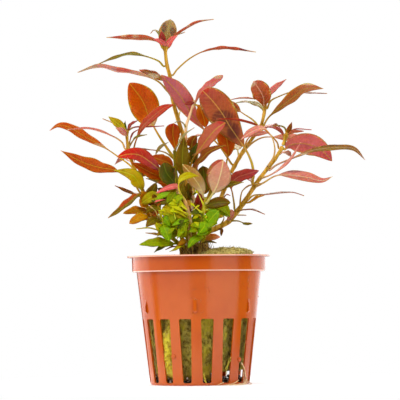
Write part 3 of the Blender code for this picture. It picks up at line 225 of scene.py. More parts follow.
STEMS = {
    "tall_stem": Stem([(-3, 2, 54), (-4, 3.5, 75), (-5.2, 4.5, 95), (-6.4, 4.5, 100), (-8.8, 4, 108.5),
        (-9.8, 3.5, 114), (-10.2, 3, 119.5), (-11.3, 3, 124), (-11.8, 2.5, 128), (-12, 2.5, 132.5)],
        1.1, 0.65, "golden"),
    "centre_stem": Stem([(-0.5, -1.5, 54.5), (-1.6, -1, 70), (-3.8, -0.5, 84), (-4.4, -0.5, 98.5),
        (-2.8, 0, 104.5), (-0.6, 0, 110.5)], 0.85, 0.5, "stem_pink"),
    "left_centre_stem": Stem([(-3.6, -1.8, 53.7), (-5.2, -1.5, 62), (-7.2, -0.5, 72), (-8.2, 0.5, 80),
        (-8.7, 1, 86), (-8.8, 1, 91.5)], 0.8, 0.55, "olive"),
    "left_stem": Stem([(-5.2, 0.8, 53.2), (-11, 0, 58), (-16, -0.5, 62.5), (-18.6, -0.5, 67),
        (-20.2, -0.5, 71), (-21.4, 0, 76), (-22.9, 0, 80.5), (-24.4, 0, 84.5), (-25.9, 0, 88.5),
        (-26.8, 0, 92), (-27.3, 0, 99.5)], 0.85, 0.55, "golden"),
    "right_stem": Stem([(1.6, -2.2, 54.7), (3.6, -2.6, 59), (7, -3, 60.8), (10, -3, 62.3), (12.5, -3.2, 64),
        (14, -3.5, 66), (17, -4, 69.6), (20, -4.3, 74), (23, -4.8, 78.5), (26.5, -5.5, 83), (30.5, -6.2, 88),
        (33.2, -6.8, 92.7), (34.8, -7, 97.5)], 0.95, 0.65, "golden"),
    "right_back_stem": Stem([(1.2, 1.8, 54.2), (4.6, 4, 62), (9.5, 6, 74), (12, 7, 80), (13.6, 7.5, 83.5),
        (17, 8, 89.3), (21, 8.6, 95), (24.5, 9.2, 99.8), (26, 9.8, 105), (26.8, 10, 110.5)],
        0.95, 0.6, "golden"),
    "front_left_stem": Stem([(-3, -3.8, 53.6), (-3.1, -7, 59), (-3.3, -9, 65), (-4.6, -9.8, 70),
        (-5.7, -10.2, 72.5), (-8.2, -10.6, 75.4)], 0.74, 0.56, "blush"),
    "front_centre_stem": Stem([(0.6, -4.4, 54.1), (2.2, -8, 58), (1.7, -9.2, 64), (2.2, -9.8, 68.3),
        (3.3, -10.2, 73)], 0.7, 0.5, "yellow"),
    "left_shoot": Stem([(-5.6, -2.2, 53), (-9.6, -6, 57), (-12.6, -7, 61), (-14.4, -7.4, 66),
        (-15, -7.6, 70.5)], 0.6, 0.4, "yellow"),
    "front_shoot": Stem([(-5.2, -4.6, 52.7), (-7, -9.4, 58.5), (-8.4, -10.4, 63), (-9.4, -10.6, 70)],
        0.6, 0.4, "yellow"),
    "back_shoot": Stem([(-1.6, 4.6, 53.3), (-3, 9, 59), (-3.4, 11, 66), (-2, 12.5, 73)],
        0.65, 0.4, "yellow"),
}

# Leaves that are pieces of their own. A point is its place in the front view and how far behind the pot's
# axis it lies; the foot is on the stem.
LARGE_LEAVES = {
    "top_left_leaf": Leaf("tall_stem", 130.8, [(-14.3, 1, 133.1), (-18, -1, 134.5), (-24, -4, 134.9),
        (-34.7, -8, 135.3)], 0.15, 3.6, (0, 0.7, 1), LANCE, "salmon"),
    "top_back_leaf": Leaf("tall_stem", 131.8, [(-11.6, 5, 134.4), (-10.6, 7, 138.4), (-9.8, 8.5, 142)],
        0.1, 7.2, FRONT, ROUND, "khaki"),
    "top_right_leaf": Leaf("tall_stem", 131, [(-10, 1.5, 134), (-5, 4, 137.7), (1, 7, 140.8),
        (7, 10, 141.9)], 0.12, 2.8, (0, 0.5, 1), LANCE, "salmon"),
    "arching_left_leaf": Leaf("tall_stem", 123.8, [(-15.5, 4, 126.3), (-24, 8, 128.7), (-31, 11, 127.5),
        (-38.5, 13, 124.8)], 0.3, 3.0, (0, -0.8, 1), LANCE, "olive"),
    "arching_right_leaf": Leaf("tall_stem", 120, [(-7, 5, 122.9), (-2, 7, 127), (4, 10, 129.7),
        (12, 12, 130.4), (23.2, 14, 128.9)], 0.42, 2.8, (0, 0.45, 1), LANCE, "salmon"),
    "drooping_leaf": Leaf("tall_stem", 114, [(-15, 0, 118), (-22, -4, 120.9), (-30, -8, 122.3),
        (-38, -11, 124), (-46, -13, 121.8)], 0.25, 3.4, (0, 0.6, 1), Form(0.95, 0.65, 20), "dusty"),
    "blunt_leaf": Leaf("tall_stem", 117.3, [(-14, 6, 119), (-18, 9, 121.2), (-22.2, 11, 122.5)],
        0.2, 4.0, TILTED, OVATE, "brown"),
    "mauve_leaf": Leaf("right_back_stem", 84.8, [(8.8, 4, 92.3), (3, 3.2, 98.6), (-2.5, 2.6, 105.8),
        (-7, -0.6, 113.2), (-13.6, -3, 120.5)], 0.4, 7.8, (0.25, 1, 0.2), Form(1.25, 0.85, 12), "mauve"),
    "centre_orange_leaf": Leaf("centre_stem", 109, [(1.2, -0.4, 107.5), (2.6, -0.6, 103.5),
        (3.3, -0.6, 99.8)], 0.14, 5.0, FRONT, OVATE, "orange"),
    "rolled_leaf": Leaf("centre_stem", 110, [(1, 2, 112.8), (3.6, 4, 115), (6.8, 6, 117.4), (10.3, 7, 120)],
        0.08, 4.4, (-0.5, -1, 0.5), Form(1.6, 0.5, 24), "rose"),
    "salmon_leaf": Leaf("centre_stem", 84, [(-1.6, -3, 88), (1.5, -5.5, 92), (4, -7, 95.4), (7.2, -8.4, 99),
        (11, -9.5, 101.6)], 0.3, 7.0, (-0.3, -1, 0.4), Form(1.2, 0.62, 16), "salmon"),
    "olive_upright_leaf": Leaf("centre_stem", 80.5, [(-5.4, -3.6, 82.6), (-5.8, -5, 88.5), (-5, -5.6, 97)],
        0.12, 6.0, FRONT, Form(0.75, 1.0, 16), "olive"),
    "dark_brown_leaf": Leaf("centre_stem", 79, [(-0.2, -5, 84.8), (1.8, -8, 87.8), (5, -10, 90.6),
        (11, -11.8, 92.9)], 0.15, 6.2, (-0.2, -0.8, 0.8), Form(0.7, 0.8, 16), "brown"),
    "grey_red_leaf": Leaf("right_back_stem", 107.5, [(25.9, 8, 110.6), (24.8, 6, 113.4), (22, 3.5, 117.5)],
        0.12, 7.7, (-0.2, -1, 0.4), Form(1.1, 0.48, 12), "pale_rib"),
    "tan_leaf": Leaf("right_back_stem", 107, [(28.6, 12, 109.8), (32, 15, 111.6), (37, 18, 113.2),
        (43, 20, 112.8), (50.5, 22, 112.5)], 0.42, 2.4, (0, -0.5, 1), LANCE, "brown"),
    "wide_olive_leaf": Leaf("right_back_stem", 100, [(27.5, 8, 103.2), (30.5, 6.5, 105.9), (36, 4.5, 110),
        (42, 2.5, 114.2), (49, 0, 114.4)], 0.2, 5.8, (-0.2, -1, 0.7), Form(1.15, 0.9, 20), "tan"),
    "red_orange_leaf": Leaf("right_back_stem", 79.5, [(11.3, 3, 86.5), (12.1, 0, 90), (11.4, -0.8, 95),
        (9.8, -0.2, 103)], 0.4, 7.8, FRONT, Form(1.1, 1.1, 18), "orange"),
    "broad_bronze_leaf": Leaf("right_stem", 77.5, [(21.4, -7.6, 83.8), (19.4, -7, 89.8), (15.1, -4.5, 96.5),
        (12.4, -3.6, 100.6), (9.8, -3, 105.2), (6.2, -3, 110), (2.3, -3.6, 114.2)],
        0.38, 12.0, (-0.2, -1, 0.1), Form(1.6, 0.42, 14), "bronze"),
    "red_arching_leaf": Leaf("right_stem", 91, [(30.8, -4.5, 93.8), (28, -3.2, 97), (24.5, -3, 99.8),
        (19, -5, 101.8), (13, -7.4, 102.9), (7.5, -8.2, 103.1)], 0.4, 2.2, (0, 0.4, 1), LANCE, "red"),
    "striped_pink_leaf": Leaf("right_stem", 84.5, [(29.4, -8.4, 88), (29.9, -9.4, 92), (28.5, -9.2, 96.5),
        (25.5, -8.4, 99.2), (21, -7.4, 97.8), (16.8, -9, 94.9)], 0.58, 3.6, (0.2, -0.8, 0.6), LANCE, "pink"),
    "large_pink_leaf": Leaf("right_stem", 91.6, [(36, -7.6, 92.8), (41, -8, 93.2), (45.4, -8, 92),
        (48.8, -7, 89.8), (52, -6, 86.2)], 0.08, 8.6, (0, 1, 0.3), Form(0.9, 0.8, 12), "rose"),
    "long_olive_leaf": Leaf("right_stem", 83.6, [(31, -8, 85.2), (38, -12.5, 88), (45, -15, 90.5),
        (54, -17, 91.4), (60.5, -19, 90.8), (64.8, -20, 86.5)],
        0.22, 2.8, (0, -1, 0.6), Form(1.35, 0.9, 16), "dusk"),
    "arched_pink_leaf": Leaf("right_stem", 77.2, [(25.5, -8, 78.2), (30, -12, 80.7), (35, -15, 81.2),
        (42, -18, 80.2), (48, -20, 78.8), (52.2, -21, 80.3)], 0.36, 4.4, (0, 1, 0.5), LANCE, "pink"),
    "low_thin_leaf": Leaf("right_stem", 71.5, [(21.5, -1.6, 73.3), (26, 2, 73.7), (33, 6, 74.3),
        (37, 8, 74.3), (41, 9, 73)], 0.3, 2.0, UP, LANCE, "brown"),
    "wine_leaf": Leaf("right_stem", 67.3, [(13.9, -6.6, 70.5), (13.4, -9, 74), (12.9, -10.4, 77.6),
        (15.5, -10.8, 80.3), (19, -10.4, 81.5), (23.7, -9.6, 82.9)], 0.44, 5.6, (0, -1, 0.7), OVATE, "wine"),
    "deep_red_leaf": Leaf("left_centre_stem", 90.4, [(-8.6, 2.6, 92.6), (-9.4, 3, 97.5), (-9, 2, 101.7)],
        0.1, 6.4, FRONT, Form(2.2, 0.55, 20), "orange"),
    "big_orange_leaf": Leaf("left_centre_stem", 88.8, [(-12, 5.5, 92.5), (-15.3, 8, 97.8), (-18.5, 10, 104),
        (-21, 11, 110.5), (-26, 12, 117.5)], 0.46, 12.0, (-0.2, -1, 0.1), OVATE, "orange"),
    "bright_red_leaf": Leaf("left_centre_stem", 81, [(-14.5, -5, 83.7), (-18, -7, 86.5), (-22.4, -8.4, 89.4),
        (-26.8, -9, 89.8), (-31.2, -9, 88.8)], 0.3, 6.0, (0.1, -1, 0.3), Form(0.95, 0.8, 18), "scarlet"),
    "bright_orange_leaf": Leaf("left_centre_stem", 84.8, [(-11, -1.4, 86.2), (-14, -3, 87.3),
        (-18, -4, 88.8)], 0.12, 5.2, (0, -1, 0.4), OVATE, "orange"),
    "dark_green_leaf": Leaf("left_centre_stem", 77.5, [(-9.8, -4, 79.4), (-12, -6, 82.4),
        (-13.2, -7.4, 86.4)], 0.14, 8.0, (0.1, -1, 0.6), ROUND, "dark_green"),
    "slanting_red_leaf": Leaf("left_stem", 88, [(-24.6, -2.6, 91.5), (-23.5, -4, 95.5), (-21, -5, 100.5),
        (-17, -4.4, 104.3), (-12.5, -2.6, 107.6), (-8.7, -1, 108.9)],
        0.3, 4.4, (-0.3, -1, 0.4), Form(1.2, 0.8, 18), "red"),
    "long_left_leaf": Leaf("left_stem", 79.5, [(-25.3, 3, 84.7), (-31, 6, 89.2), (-37, 8, 93.3),
        (-43, 10, 96.6), (-49, 12, 100.3), (-53.5, 13, 101.3), (-57, 14, 99.4)],
        0.42, 4.2, (-0.1, -0.9, 0.6), Form(1.1, 0.85, 18), "orange"),
    "thin_pink_leaf": Leaf("left_stem", 92.3, [(-29.5, 1, 94.9), (-35, 2.4, 98), (-42, 3.6, 100),
        (-50, 5, 99.8)], 0.28, 1.9, TURNED_AWAY, LANCE, "pink"),
    "orange_left_leaf": Leaf("left_stem", 74, [(-25.6, -4, 79.6), (-31.5, -6.4, 83.5), (-38, -9, 84.8),
        (-45, -12, 87.2), (-52.8, -15, 91.6)], 0.36, 6.0, (0, -1, 0.5), LANCE, "orange"),
    "yellow_green_leaf": Leaf("left_stem", 75.6, [(-22.6, -5, 78.4), (-25.6, -9, 81.9), (-32.2, -12, 83.8)],
        0.08, 5.6, (-0.2, -0.9, 0.3), LANCE, "yellow"),
    "folded_leaf": Leaf("left_stem", 74.6, [(-23.6, -6.6, 74), (-26.5, -9.6, 71.3), (-30.5, -12.4, 68),
        (-34.8, -14, 65.3)], 0.14, 4.2, (-0.3, -0.9, 0.7), CUPPED, "olive"),
    "ochre_leaf": Leaf("left_stem", 65.6, [(-20.4, -4.6, 67.4), (-24, -7.4, 68), (-29, -9, 67)],
        0.12, 4.4, (0, -0.9, 0.6), OVATE, "ochre"),
    "coral_leaf": Leaf("front_left_stem", 75, [(-8.4, -12.4, 77.2), (-11.8, -13.4, 76.5),
        (-16.2, -14.4, 74.7)], 0.2, 2.8, (0, -0.9, 0.6), Form(0.42, 0.6, 14), "coral"),
    "blush_leaf": Leaf("front_centre_stem", 72.2, [(1.2, -12.4, 76.3), (-0.8, -13.6, 79.5), (-3, -14, 82.5),
        (-5.8, -14, 85.7)], 0.14, 5.8, (0, 1, 0.3), OVATE, "blush"),
    "pale_pink_leaf": Leaf("front_centre_stem", 70.4, [(5, -13.4, 73), (7.2, -16, 76.8), (8.6, -18, 80.8),
        (9.4, -19, 84), (10, -19.6, 87)], 0.34, 8.8, (0, 1, 0.25), OVATE, "pale_pink"),
    "green_olive_leaf": Leaf("front_centre_stem", 71.6, [(5.8, -12, 74.9), (9, -14, 76.6), (13, -15.2, 77.7),
        (17.8, -16, 78.5)], 0.12, 4.2, (0, -1, 0.7), LANCE, "olive"),
    "bright_green_leaf": Leaf("front_centre_stem", 62.6, [(4.2, -12.6, 63.6), (5.8, -14, 65.4),
        (8, -15, 67.6)], 0.1, 6.4, (0, -1, 0.5), ROUND, "leaf_green"),
    "low_green_leaf": Leaf("left_shoot", 56, [(-12.6, -9.4, 55.6), (-17, -12, 55.5), (-22.9, -14.6, 54.8)],
        0.1, 4.8, (0, -1, 0.6), Form(0.8, 0.75, 14), "green"),
}

# Small leaves, fused with the stem that they grow from. Each group is a stem and its leaves, and a row is
# a leaf without the stem's name.
SMALL_LEAVES = [
    ("tall_stem", [
        (132.2, [(-13, 0.5, 134.3), (-13.3, -0.6, 137.4)], 0.2, 3.2, FRONT, CUPPED, "wine"),
        (131.6, [(-9, 4, 135.2), (-4.2, 6, 137)], 0.3, 1.3, UP, NARROW, "grey"),
        (130.4, [(-10.8, 1, 132.4), (-9.4, 0.4, 134.2), (-7, 0, 135.8)],
         0.04, 2.8, (0.3, -1, 0.3), Form(0.7, 0.8, 24), "coral"),
        (130.6, [(-12.6, 0.6, 132.6), (-14.4, -0.4, 133.8), (-16.8, -1, 134.4)],
         0.04, 2.4, (-0.3, -1, 0.3), Form(0.7, 0.8, 24), "coral"),
        (131.9, [(-14.4, 4, 136.4), (-16.2, 5.6, 138), (-17.6, 6, 136.6)], 0.2, 1.5, UP, NARROW, "grey"),
        (91, [(-6.5, 9, 94.4), (-8, 18, 96.8), (-10, 28, 94)], 0.3, 5.6, LEVEL, LANCE, "olive"),
        (103, [(-6.6, 10, 106), (-5, 19, 108.4), (-3, 27, 106)], 0.3, 4.6, LEVEL, LANCE, "bronze"),
    ]),
    ("centre_stem", [
        (109.4, [(-2.4, -2, 109.4), (-5.2, -3, 109)], 0.1, 1.9, FRONT, LANCE, "wine"),
        (99.4, [(-5.4, -2, 101.8), (-7, -2.6, 102.4), (-8.7, -3, 101.9)], 0.3, 1.1, UP, NARROW, "grey"),
        (91, [(-2.4, -2, 92), (-1.8, -2.8, 94.6), (-0.2, -3.4, 96.8)], 0.15, 4.4, FRONT, OVATE, "brown"),
        (88, [(0.4, -4, 90.4), (3, -6, 91.8), (6.4, -7, 92.2)], 0.3, 1.6, TILTED, LANCE, "mauve"),
        (83.2, [(-2, -1.8, 86.6), (-1.3, -2.4, 90), (0.1, -3, 94)], 0.2, 4.0, FRONT, LANCE, "dark_green"),
        (73, [(1.6, -5.4, 77), (2.4, -6.4, 81), (2, -6.8, 85)], 0.2, 7.5, FRONT, ROUND, "dark_green"),
        (95, [(-1, 6, 96.4), (2.8, 14, 97), (6.4, 22, 94.6)], 0.3, 4.6, LEVEL, LANCE, "bronze"),
    ]),
    ("right_back_stem", [
        (109.8, [(28.3, 11, 112.7), (30.8, 12, 115.3), (34.8, 13, 118.2)],
         0.1, 3.1, (-0.4, -1, 0.5), LANCE, "rose"),
        (110, [(22, 12, 110.9), (17, 14, 111.1), (13.3, 15, 110.6)],
         0.3, 1.6, (0, -0.6, 1), NARROW, "salmon"),
        (104.8, [(25.2, 13, 107.4), (22.7, 16, 108.8), (18.4, 19, 109.7), (14, 21, 109)],
         0.12, 3.0, (0, -0.6, 1), Form(0.7, 0.9, 18), "grey"),
        (99, [(22, 11, 102.2), (18, 13, 105), (14, 15, 107.4), (7, 17, 108.5)],
         0.5, 5.0, FRONT, LANCE, "bronze"),
        (91, [(19.3, 5, 94.8), (21.5, 3.4, 96.7), (25, 2, 97.4), (28.2, 0.6, 97.4)],
         0.45, 2.2, FRONT, LANCE, "pink"),
        (90, [(21.5, 6.4, 93.8), (25.5, 4, 95.7), (30, 1.4, 95.8), (36, -1.4, 95.6), (44, -3, 95)],
         0.5, 3.2, BACK, LANCE, "pink"),
        (88, [(15.6, 15, 91), (14.6, 24, 93), (14, 33, 91)], 0.3, 6.0, LEVEL, OVATE, "olive"),
        (97, [(26, 16, 99), (29, 24, 100.4), (33, 31, 98)], 0.3, 4.6, LEVEL, LANCE, "brown"),
    ]),
    ("right_stem", [
        (96.4, [(35.8, -7.4, 99.2), (36.7, -7.8, 101.6)], 0.1, 2.0, FRONT, LANCE, "brown"),
        (96, [(37, -9, 97.6), (41.3, -10.6, 98)], 0.15, 2.1, (0, 0.6, 1), OVATE, "salmon"),
        (96.8, [(38, -6, 98.9), (44.3, -5, 98.5)], 0.2, 1.0, UP, NARROW, "mauve"),
        (96.6, [(33.8, -5.6, 99.4), (31.5, -5, 100.3), (29.5, -4.8, 100)], 0.2, 1.2, UP, NARROW, "olive"),
        (93.3, [(33.4, -4.4, 96.4), (31.4, -2.2, 98.9), (28.5, 0.4, 99.7), (25.8, 2.6, 99.5)],
         0.25, 2.4, (0, -0.7, 1), LANCE, "wine"),
        (79.8, [(28.5, -11, 81.4), (33, -16, 84.5), (36.5, -19, 88), (40, -21, 93.6)],
         0.24, 1.9, (-0.8, -0.7, 0.4), Form(1.2, 0.9, 10), "pink"),
        (70.2, [(20.5, -6.6, 71), (23, -8.4, 72.5), (25.6, -10, 73.3)], 0.15, 2.8, TILTED, LANCE, "ochre"),
        (68.6, [(16.5, -7, 72.6), (17.4, -8.4, 75.4), (20, -8.6, 77.2), (24.4, -8.4, 78)],
         0.5, 1.5, UP, NARROW, "golden"),
        (66.8, [(17.2, -7, 67.8), (21, -10.6, 67.9), (25.8, -14, 66)], 0.3, 1.4, UP, NARROW, "brown"),
        (63.6, [(15.5, -5.6, 63.5), (18.2, -7.6, 62.4), (20.9, -8.6, 62.4)],
         0.6, 2.0, TILTED, OVATE, "olive"),
        (65.6, [(16.4, -2, 65.9), (18.6, -1, 65.7)], 0.3, 1.0, UP, NARROW, "blush"),
        (76, [(20.6, 3, 79), (19, 11, 81.6), (17.4, 19, 80.6)], 0.3, 5.4, LEVEL, OVATE, "wine"),
        (87, [(31.6, 0, 89), (33.6, 8, 90), (36.4, 17, 88)], 0.25, 4.6, LEVEL, LANCE, "bronze"),
    ]),
    ("left_centre_stem", [
        (90.8, [(-7.4, -5, 93.6), (-4.6, -8.6, 97.4), (-1, -9.4, 99.9)],
         0.2, 1.7, (-0.5, -0.8, 0.6), NARROW, "grey"),
        (87.6, [(-12.6, 2.4, 90.4), (-18, 1.4, 91.5), (-24, -0.6, 92.3)], 0.6, 1.4, UP, NARROW, "brown"),
        (79, [(-13, -1, 80.6), (-17, -3, 82.1), (-21, -4.6, 84.2), (-26, -6, 86.9)],
         0.2, 5.0, (0, -1, 0.2), LANCE, "orange"),
        (82, [(-13.4, 1.2, 84.6), (-16.2, 0.4, 88.4), (-14.6, -0.6, 92.2), (-11, -2, 94.4)],
         0.6, 1.5, FRONT, NARROW, "grey"),
        (73.4, [(-12, 3, 77), (-16, 2, 79.3), (-20, 1, 80.4)], 0.2, 4.0, TILTED, LANCE, "olive"),
        (79.6, [(-11, 9, 82), (-13, 18, 84.4), (-14, 27, 82.6)], 0.3, 5.8, LEVEL, OVATE, "olive"),
    ]),
    ("left_stem", [
        (98.8, [(-29.2, -1.6, 100.6), (-31.5, -2.6, 102.3), (-34.3, -3.6, 104.6)],
         0.1, 3.8, (-0.2, -0.9, 0.5), LANCE, "yellow"),
        (98.2, [(-31, 2, 101.4), (-36.5, 4, 103.8)], 0.2, 1.0, UP, NARROW, "blush"),
        (96.6, [(-29, -2.6, 98.9), (-31.6, -3.6, 100.2)], 0.1, 2.7, BACK, LANCE, "pink"),
        (98.8, [(-27.9, 0.8, 101), (-27.7, 1.4, 102.9)], 0.1, 1.2, FRONT, NARROW, "dark_green"),
        (98.6, [(-25.6, -1, 101.2), (-22.8, -2, 103)], 0.1, 2.2, TILTED, LANCE, "wine"),
        (98.4, [(-24, 2, 100.4), (-19, 3, 100.4), (-12.7, 4, 100.7)], 0.2, 1.4, UP, NARROW, "wine"),
        (91.4, [(-25.6, -4.4, 94), (-23.6, -7.4, 96.4), (-19.4, -9, 97.4)],
         0.2, 2.3, TILTED, LANCE, "olive"),
        (91.8, [(-25.7, 2.4, 96), (-24.6, 3.4, 98.2), (-22.3, 4.4, 99.6)], 0.4, 1.1, UP, NARROW, "wine"),
        (72.4, [(-23.4, -2.6, 74), (-27.5, -4, 75.6), (-32, -5, 77.8)], 0.3, 2.4, TILTED, LANCE, "brown"),
        (63.8, [(-19.6, -7, 65.8), (-22.6, -10.6, 65.2), (-26.6, -12.6, 63)],
         0.4, 4.0, (0, -1, 0.4), ROUND, "ochre"),
        (69, [(-20.3, -3.6, 70.8), (-20.4, -4.6, 73), (-21.6, -5.4, 75.4)], 0.1, 5.0, FRONT, ROUND, "ochre"),
        (85, [(-25.4, 9, 87), (-28, 18, 88.4), (-32, 26, 86)], 0.25, 5.0, LEVEL, LANCE, "bronze"),
        (71, [(-21, 9, 73), (-22.6, 17, 74.4), (-25, 25, 72)], 0.25, 5.0, LEVEL, LANCE, "olive"),
    ]),
    ("front_left_stem", [
        (71.4, [(-7.1, -13, 75.3), (-7.3, -15.2, 78.4), (-5.8, -16, 80.5), (-3, -16.4, 81.4),
          (0.5, -16.4, 81)], 0.5, 3.0, FRONT, LANCE, "yellow"),
        (64, [(-5.6, -12, 66), (-8.2, -13.4, 67.6)], 0.2, 2.6, TILTED, LANCE, "yellow"),
    ]),
    ("front_centre_stem", [
        (68.4, [(6, -9.4, 69.4), (9.8, -9.2, 68.8), (12.4, -9, 65)], 0.3, 4.0, FRONT, LANCE, "green"),
        (69, [(4.5, -11.4, 69.9), (8.5, -13.4, 70.8), (12.6, -14.6, 70.6)],
         0.1, 4.4, FRONT, ROUND, "dark_olive"),
        (70.2, [(5, -10.6, 76), (6.6, -11, 80), (8.2, -11, 84), (9.8, -11, 87.4)],
         0.35, 7.6, FRONT, ROUND, "salmon"),
        (65.6, [(0, -12, 67.1), (-3, -13.6, 66.8)], 0.15, 3.2, TILTED, OVATE, "dark_green"),
        (60, [(0.4, -12, 61.4), (-2.6, -14, 62.4)], 0.15, 3.4, TILTED, OVATE, "green"),
        (58.4, [(3.6, -11, 59.6), (5.4, -12.6, 62)], 0.15, 3.2, (0, -1, 0.5), LANCE, "green"),
        (57.6, [(0.4, -10.6, 57.4), (-2, -12.4, 56.2), (-4.1, -13.4, 53.2)],
         0.1, 3.2, FRONT, OVATE, "leaf_green"),
        (56.2, [(4.8, -9, 57.4), (8.4, -10.4, 57.4)], 0.15, 3.0, (0, -1, 0.4), OVATE, "peach"),
        (55.4, [(4.4, -9, 55.6), (7, -10.4, 55.2)], 0.2, 1.8, TILTED, LANCE, "olive"),
    ]),
    ("left_shoot", [
        (69, [(-15.2, -9, 70.8), (-18.2, -11.6, 71.8)], 0.2, 2.6, TILTED, LANCE, "dark_green"),
        (69.6, [(-14.2, -8.6, 72.6), (-11.6, -10.2, 74)], 0.2, 2.4, UP, LANCE, "green"),
        (66.6, [(-12.6, -6.6, 68.4), (-8, -6.4, 67.4)], 0.2, 4.4, (0, -1, 0.5), OVATE, "yellow"),
        (63.4, [(-16.2, -9, 64.4), (-18.4, -11, 63.4), (-20.2, -12, 61.6)],
         0.1, 3.6, (0, -1, 0.5), OVATE, "olive"),
        (59.4, [(-15, -11, 60.3), (-19, -14, 61.3), (-24, -16.6, 61)], 0.2, 1.9, UP, LANCE, "yellow"),
        (57.8, [(-14.4, -8, 58.6), (-20.4, -9.4, 59.4)], 0.2, 1.6, TILTED, LANCE, "blush"),
        (62.8, [(-13.4, -10, 61.8), (-12.2, -12, 59.2), (-11.2, -13, 55.8)],
         0.1, 4.8, FRONT, OVATE, "leaf_green"),
        (55, [(-12.2, -7, 54.9), (-14.6, -9, 53.5), (-17.2, -10.6, 51.8)],
         0.15, 3.0, TILTED, LANCE, "dark_green"),
        (64.6, [(-12, -5.6, 65.4), (-9.6, -4.4, 63.4)], 0.15, 3.4, FRONT, OVATE, "green"),
    ]),
    ("front_shoot", [
        (60.6, [(-7.6, -12.6, 62), (-5.2, -15, 64.4)], 0.15, 3.0, (0, -1, 0.6), LANCE, "dark_green"),
        (57, [(-5.8, -12.6, 59), (-4.8, -14.6, 63)], 0.15, 3.0, FRONT, LANCE, "green"),
        (69.2, [(-8.6, -12.6, 71.8), (-5.6, -15, 73)], 0.15, 4.4, (0, -1, 0.6), OVATE, "green"),
        (54.6, [(-5.2, -9.8, 56.4), (-8, -11.4, 54.2)], 0.1, 2.8, FRONT, OVATE, "ochre"),
        (65.6, [(-10.2, -13, 67.4), (-13.6, -15.4, 68.8)], 0.15, 3.4, (0, -1, 0.6), LANCE, "yellow"),
    ]),
    ("back_shoot", [
        (60, [(2, 12, 62.4), (7, 15, 62)], 0.2, 3.8, LEVEL, OVATE, "green"),
        (64, [(-7, 14, 66.4), (-12, 17, 66)], 0.2, 4.0, LEVEL, OVATE, "green"),
        (67, [(-2, 16, 69.4), (-1, 22, 69)], 0.2, 4.2, UP, OVATE, "olive"),
        (71, [(1.4, 14, 74.2), (5, 16, 76)], 0.2, 3.8, LEVEL, LANCE, "yellow"),
        (71.6, [(-5.4, 13.4, 75), (-8, 14.6, 78)], 0.2, 3.6, LEVEL, LANCE, "green"),
        (57, [(-8, 12, 58.4), (-13, 14.6, 57)], 0.2, 3.6, LEVEL, LANCE, "dark_green"),
    ]),
]

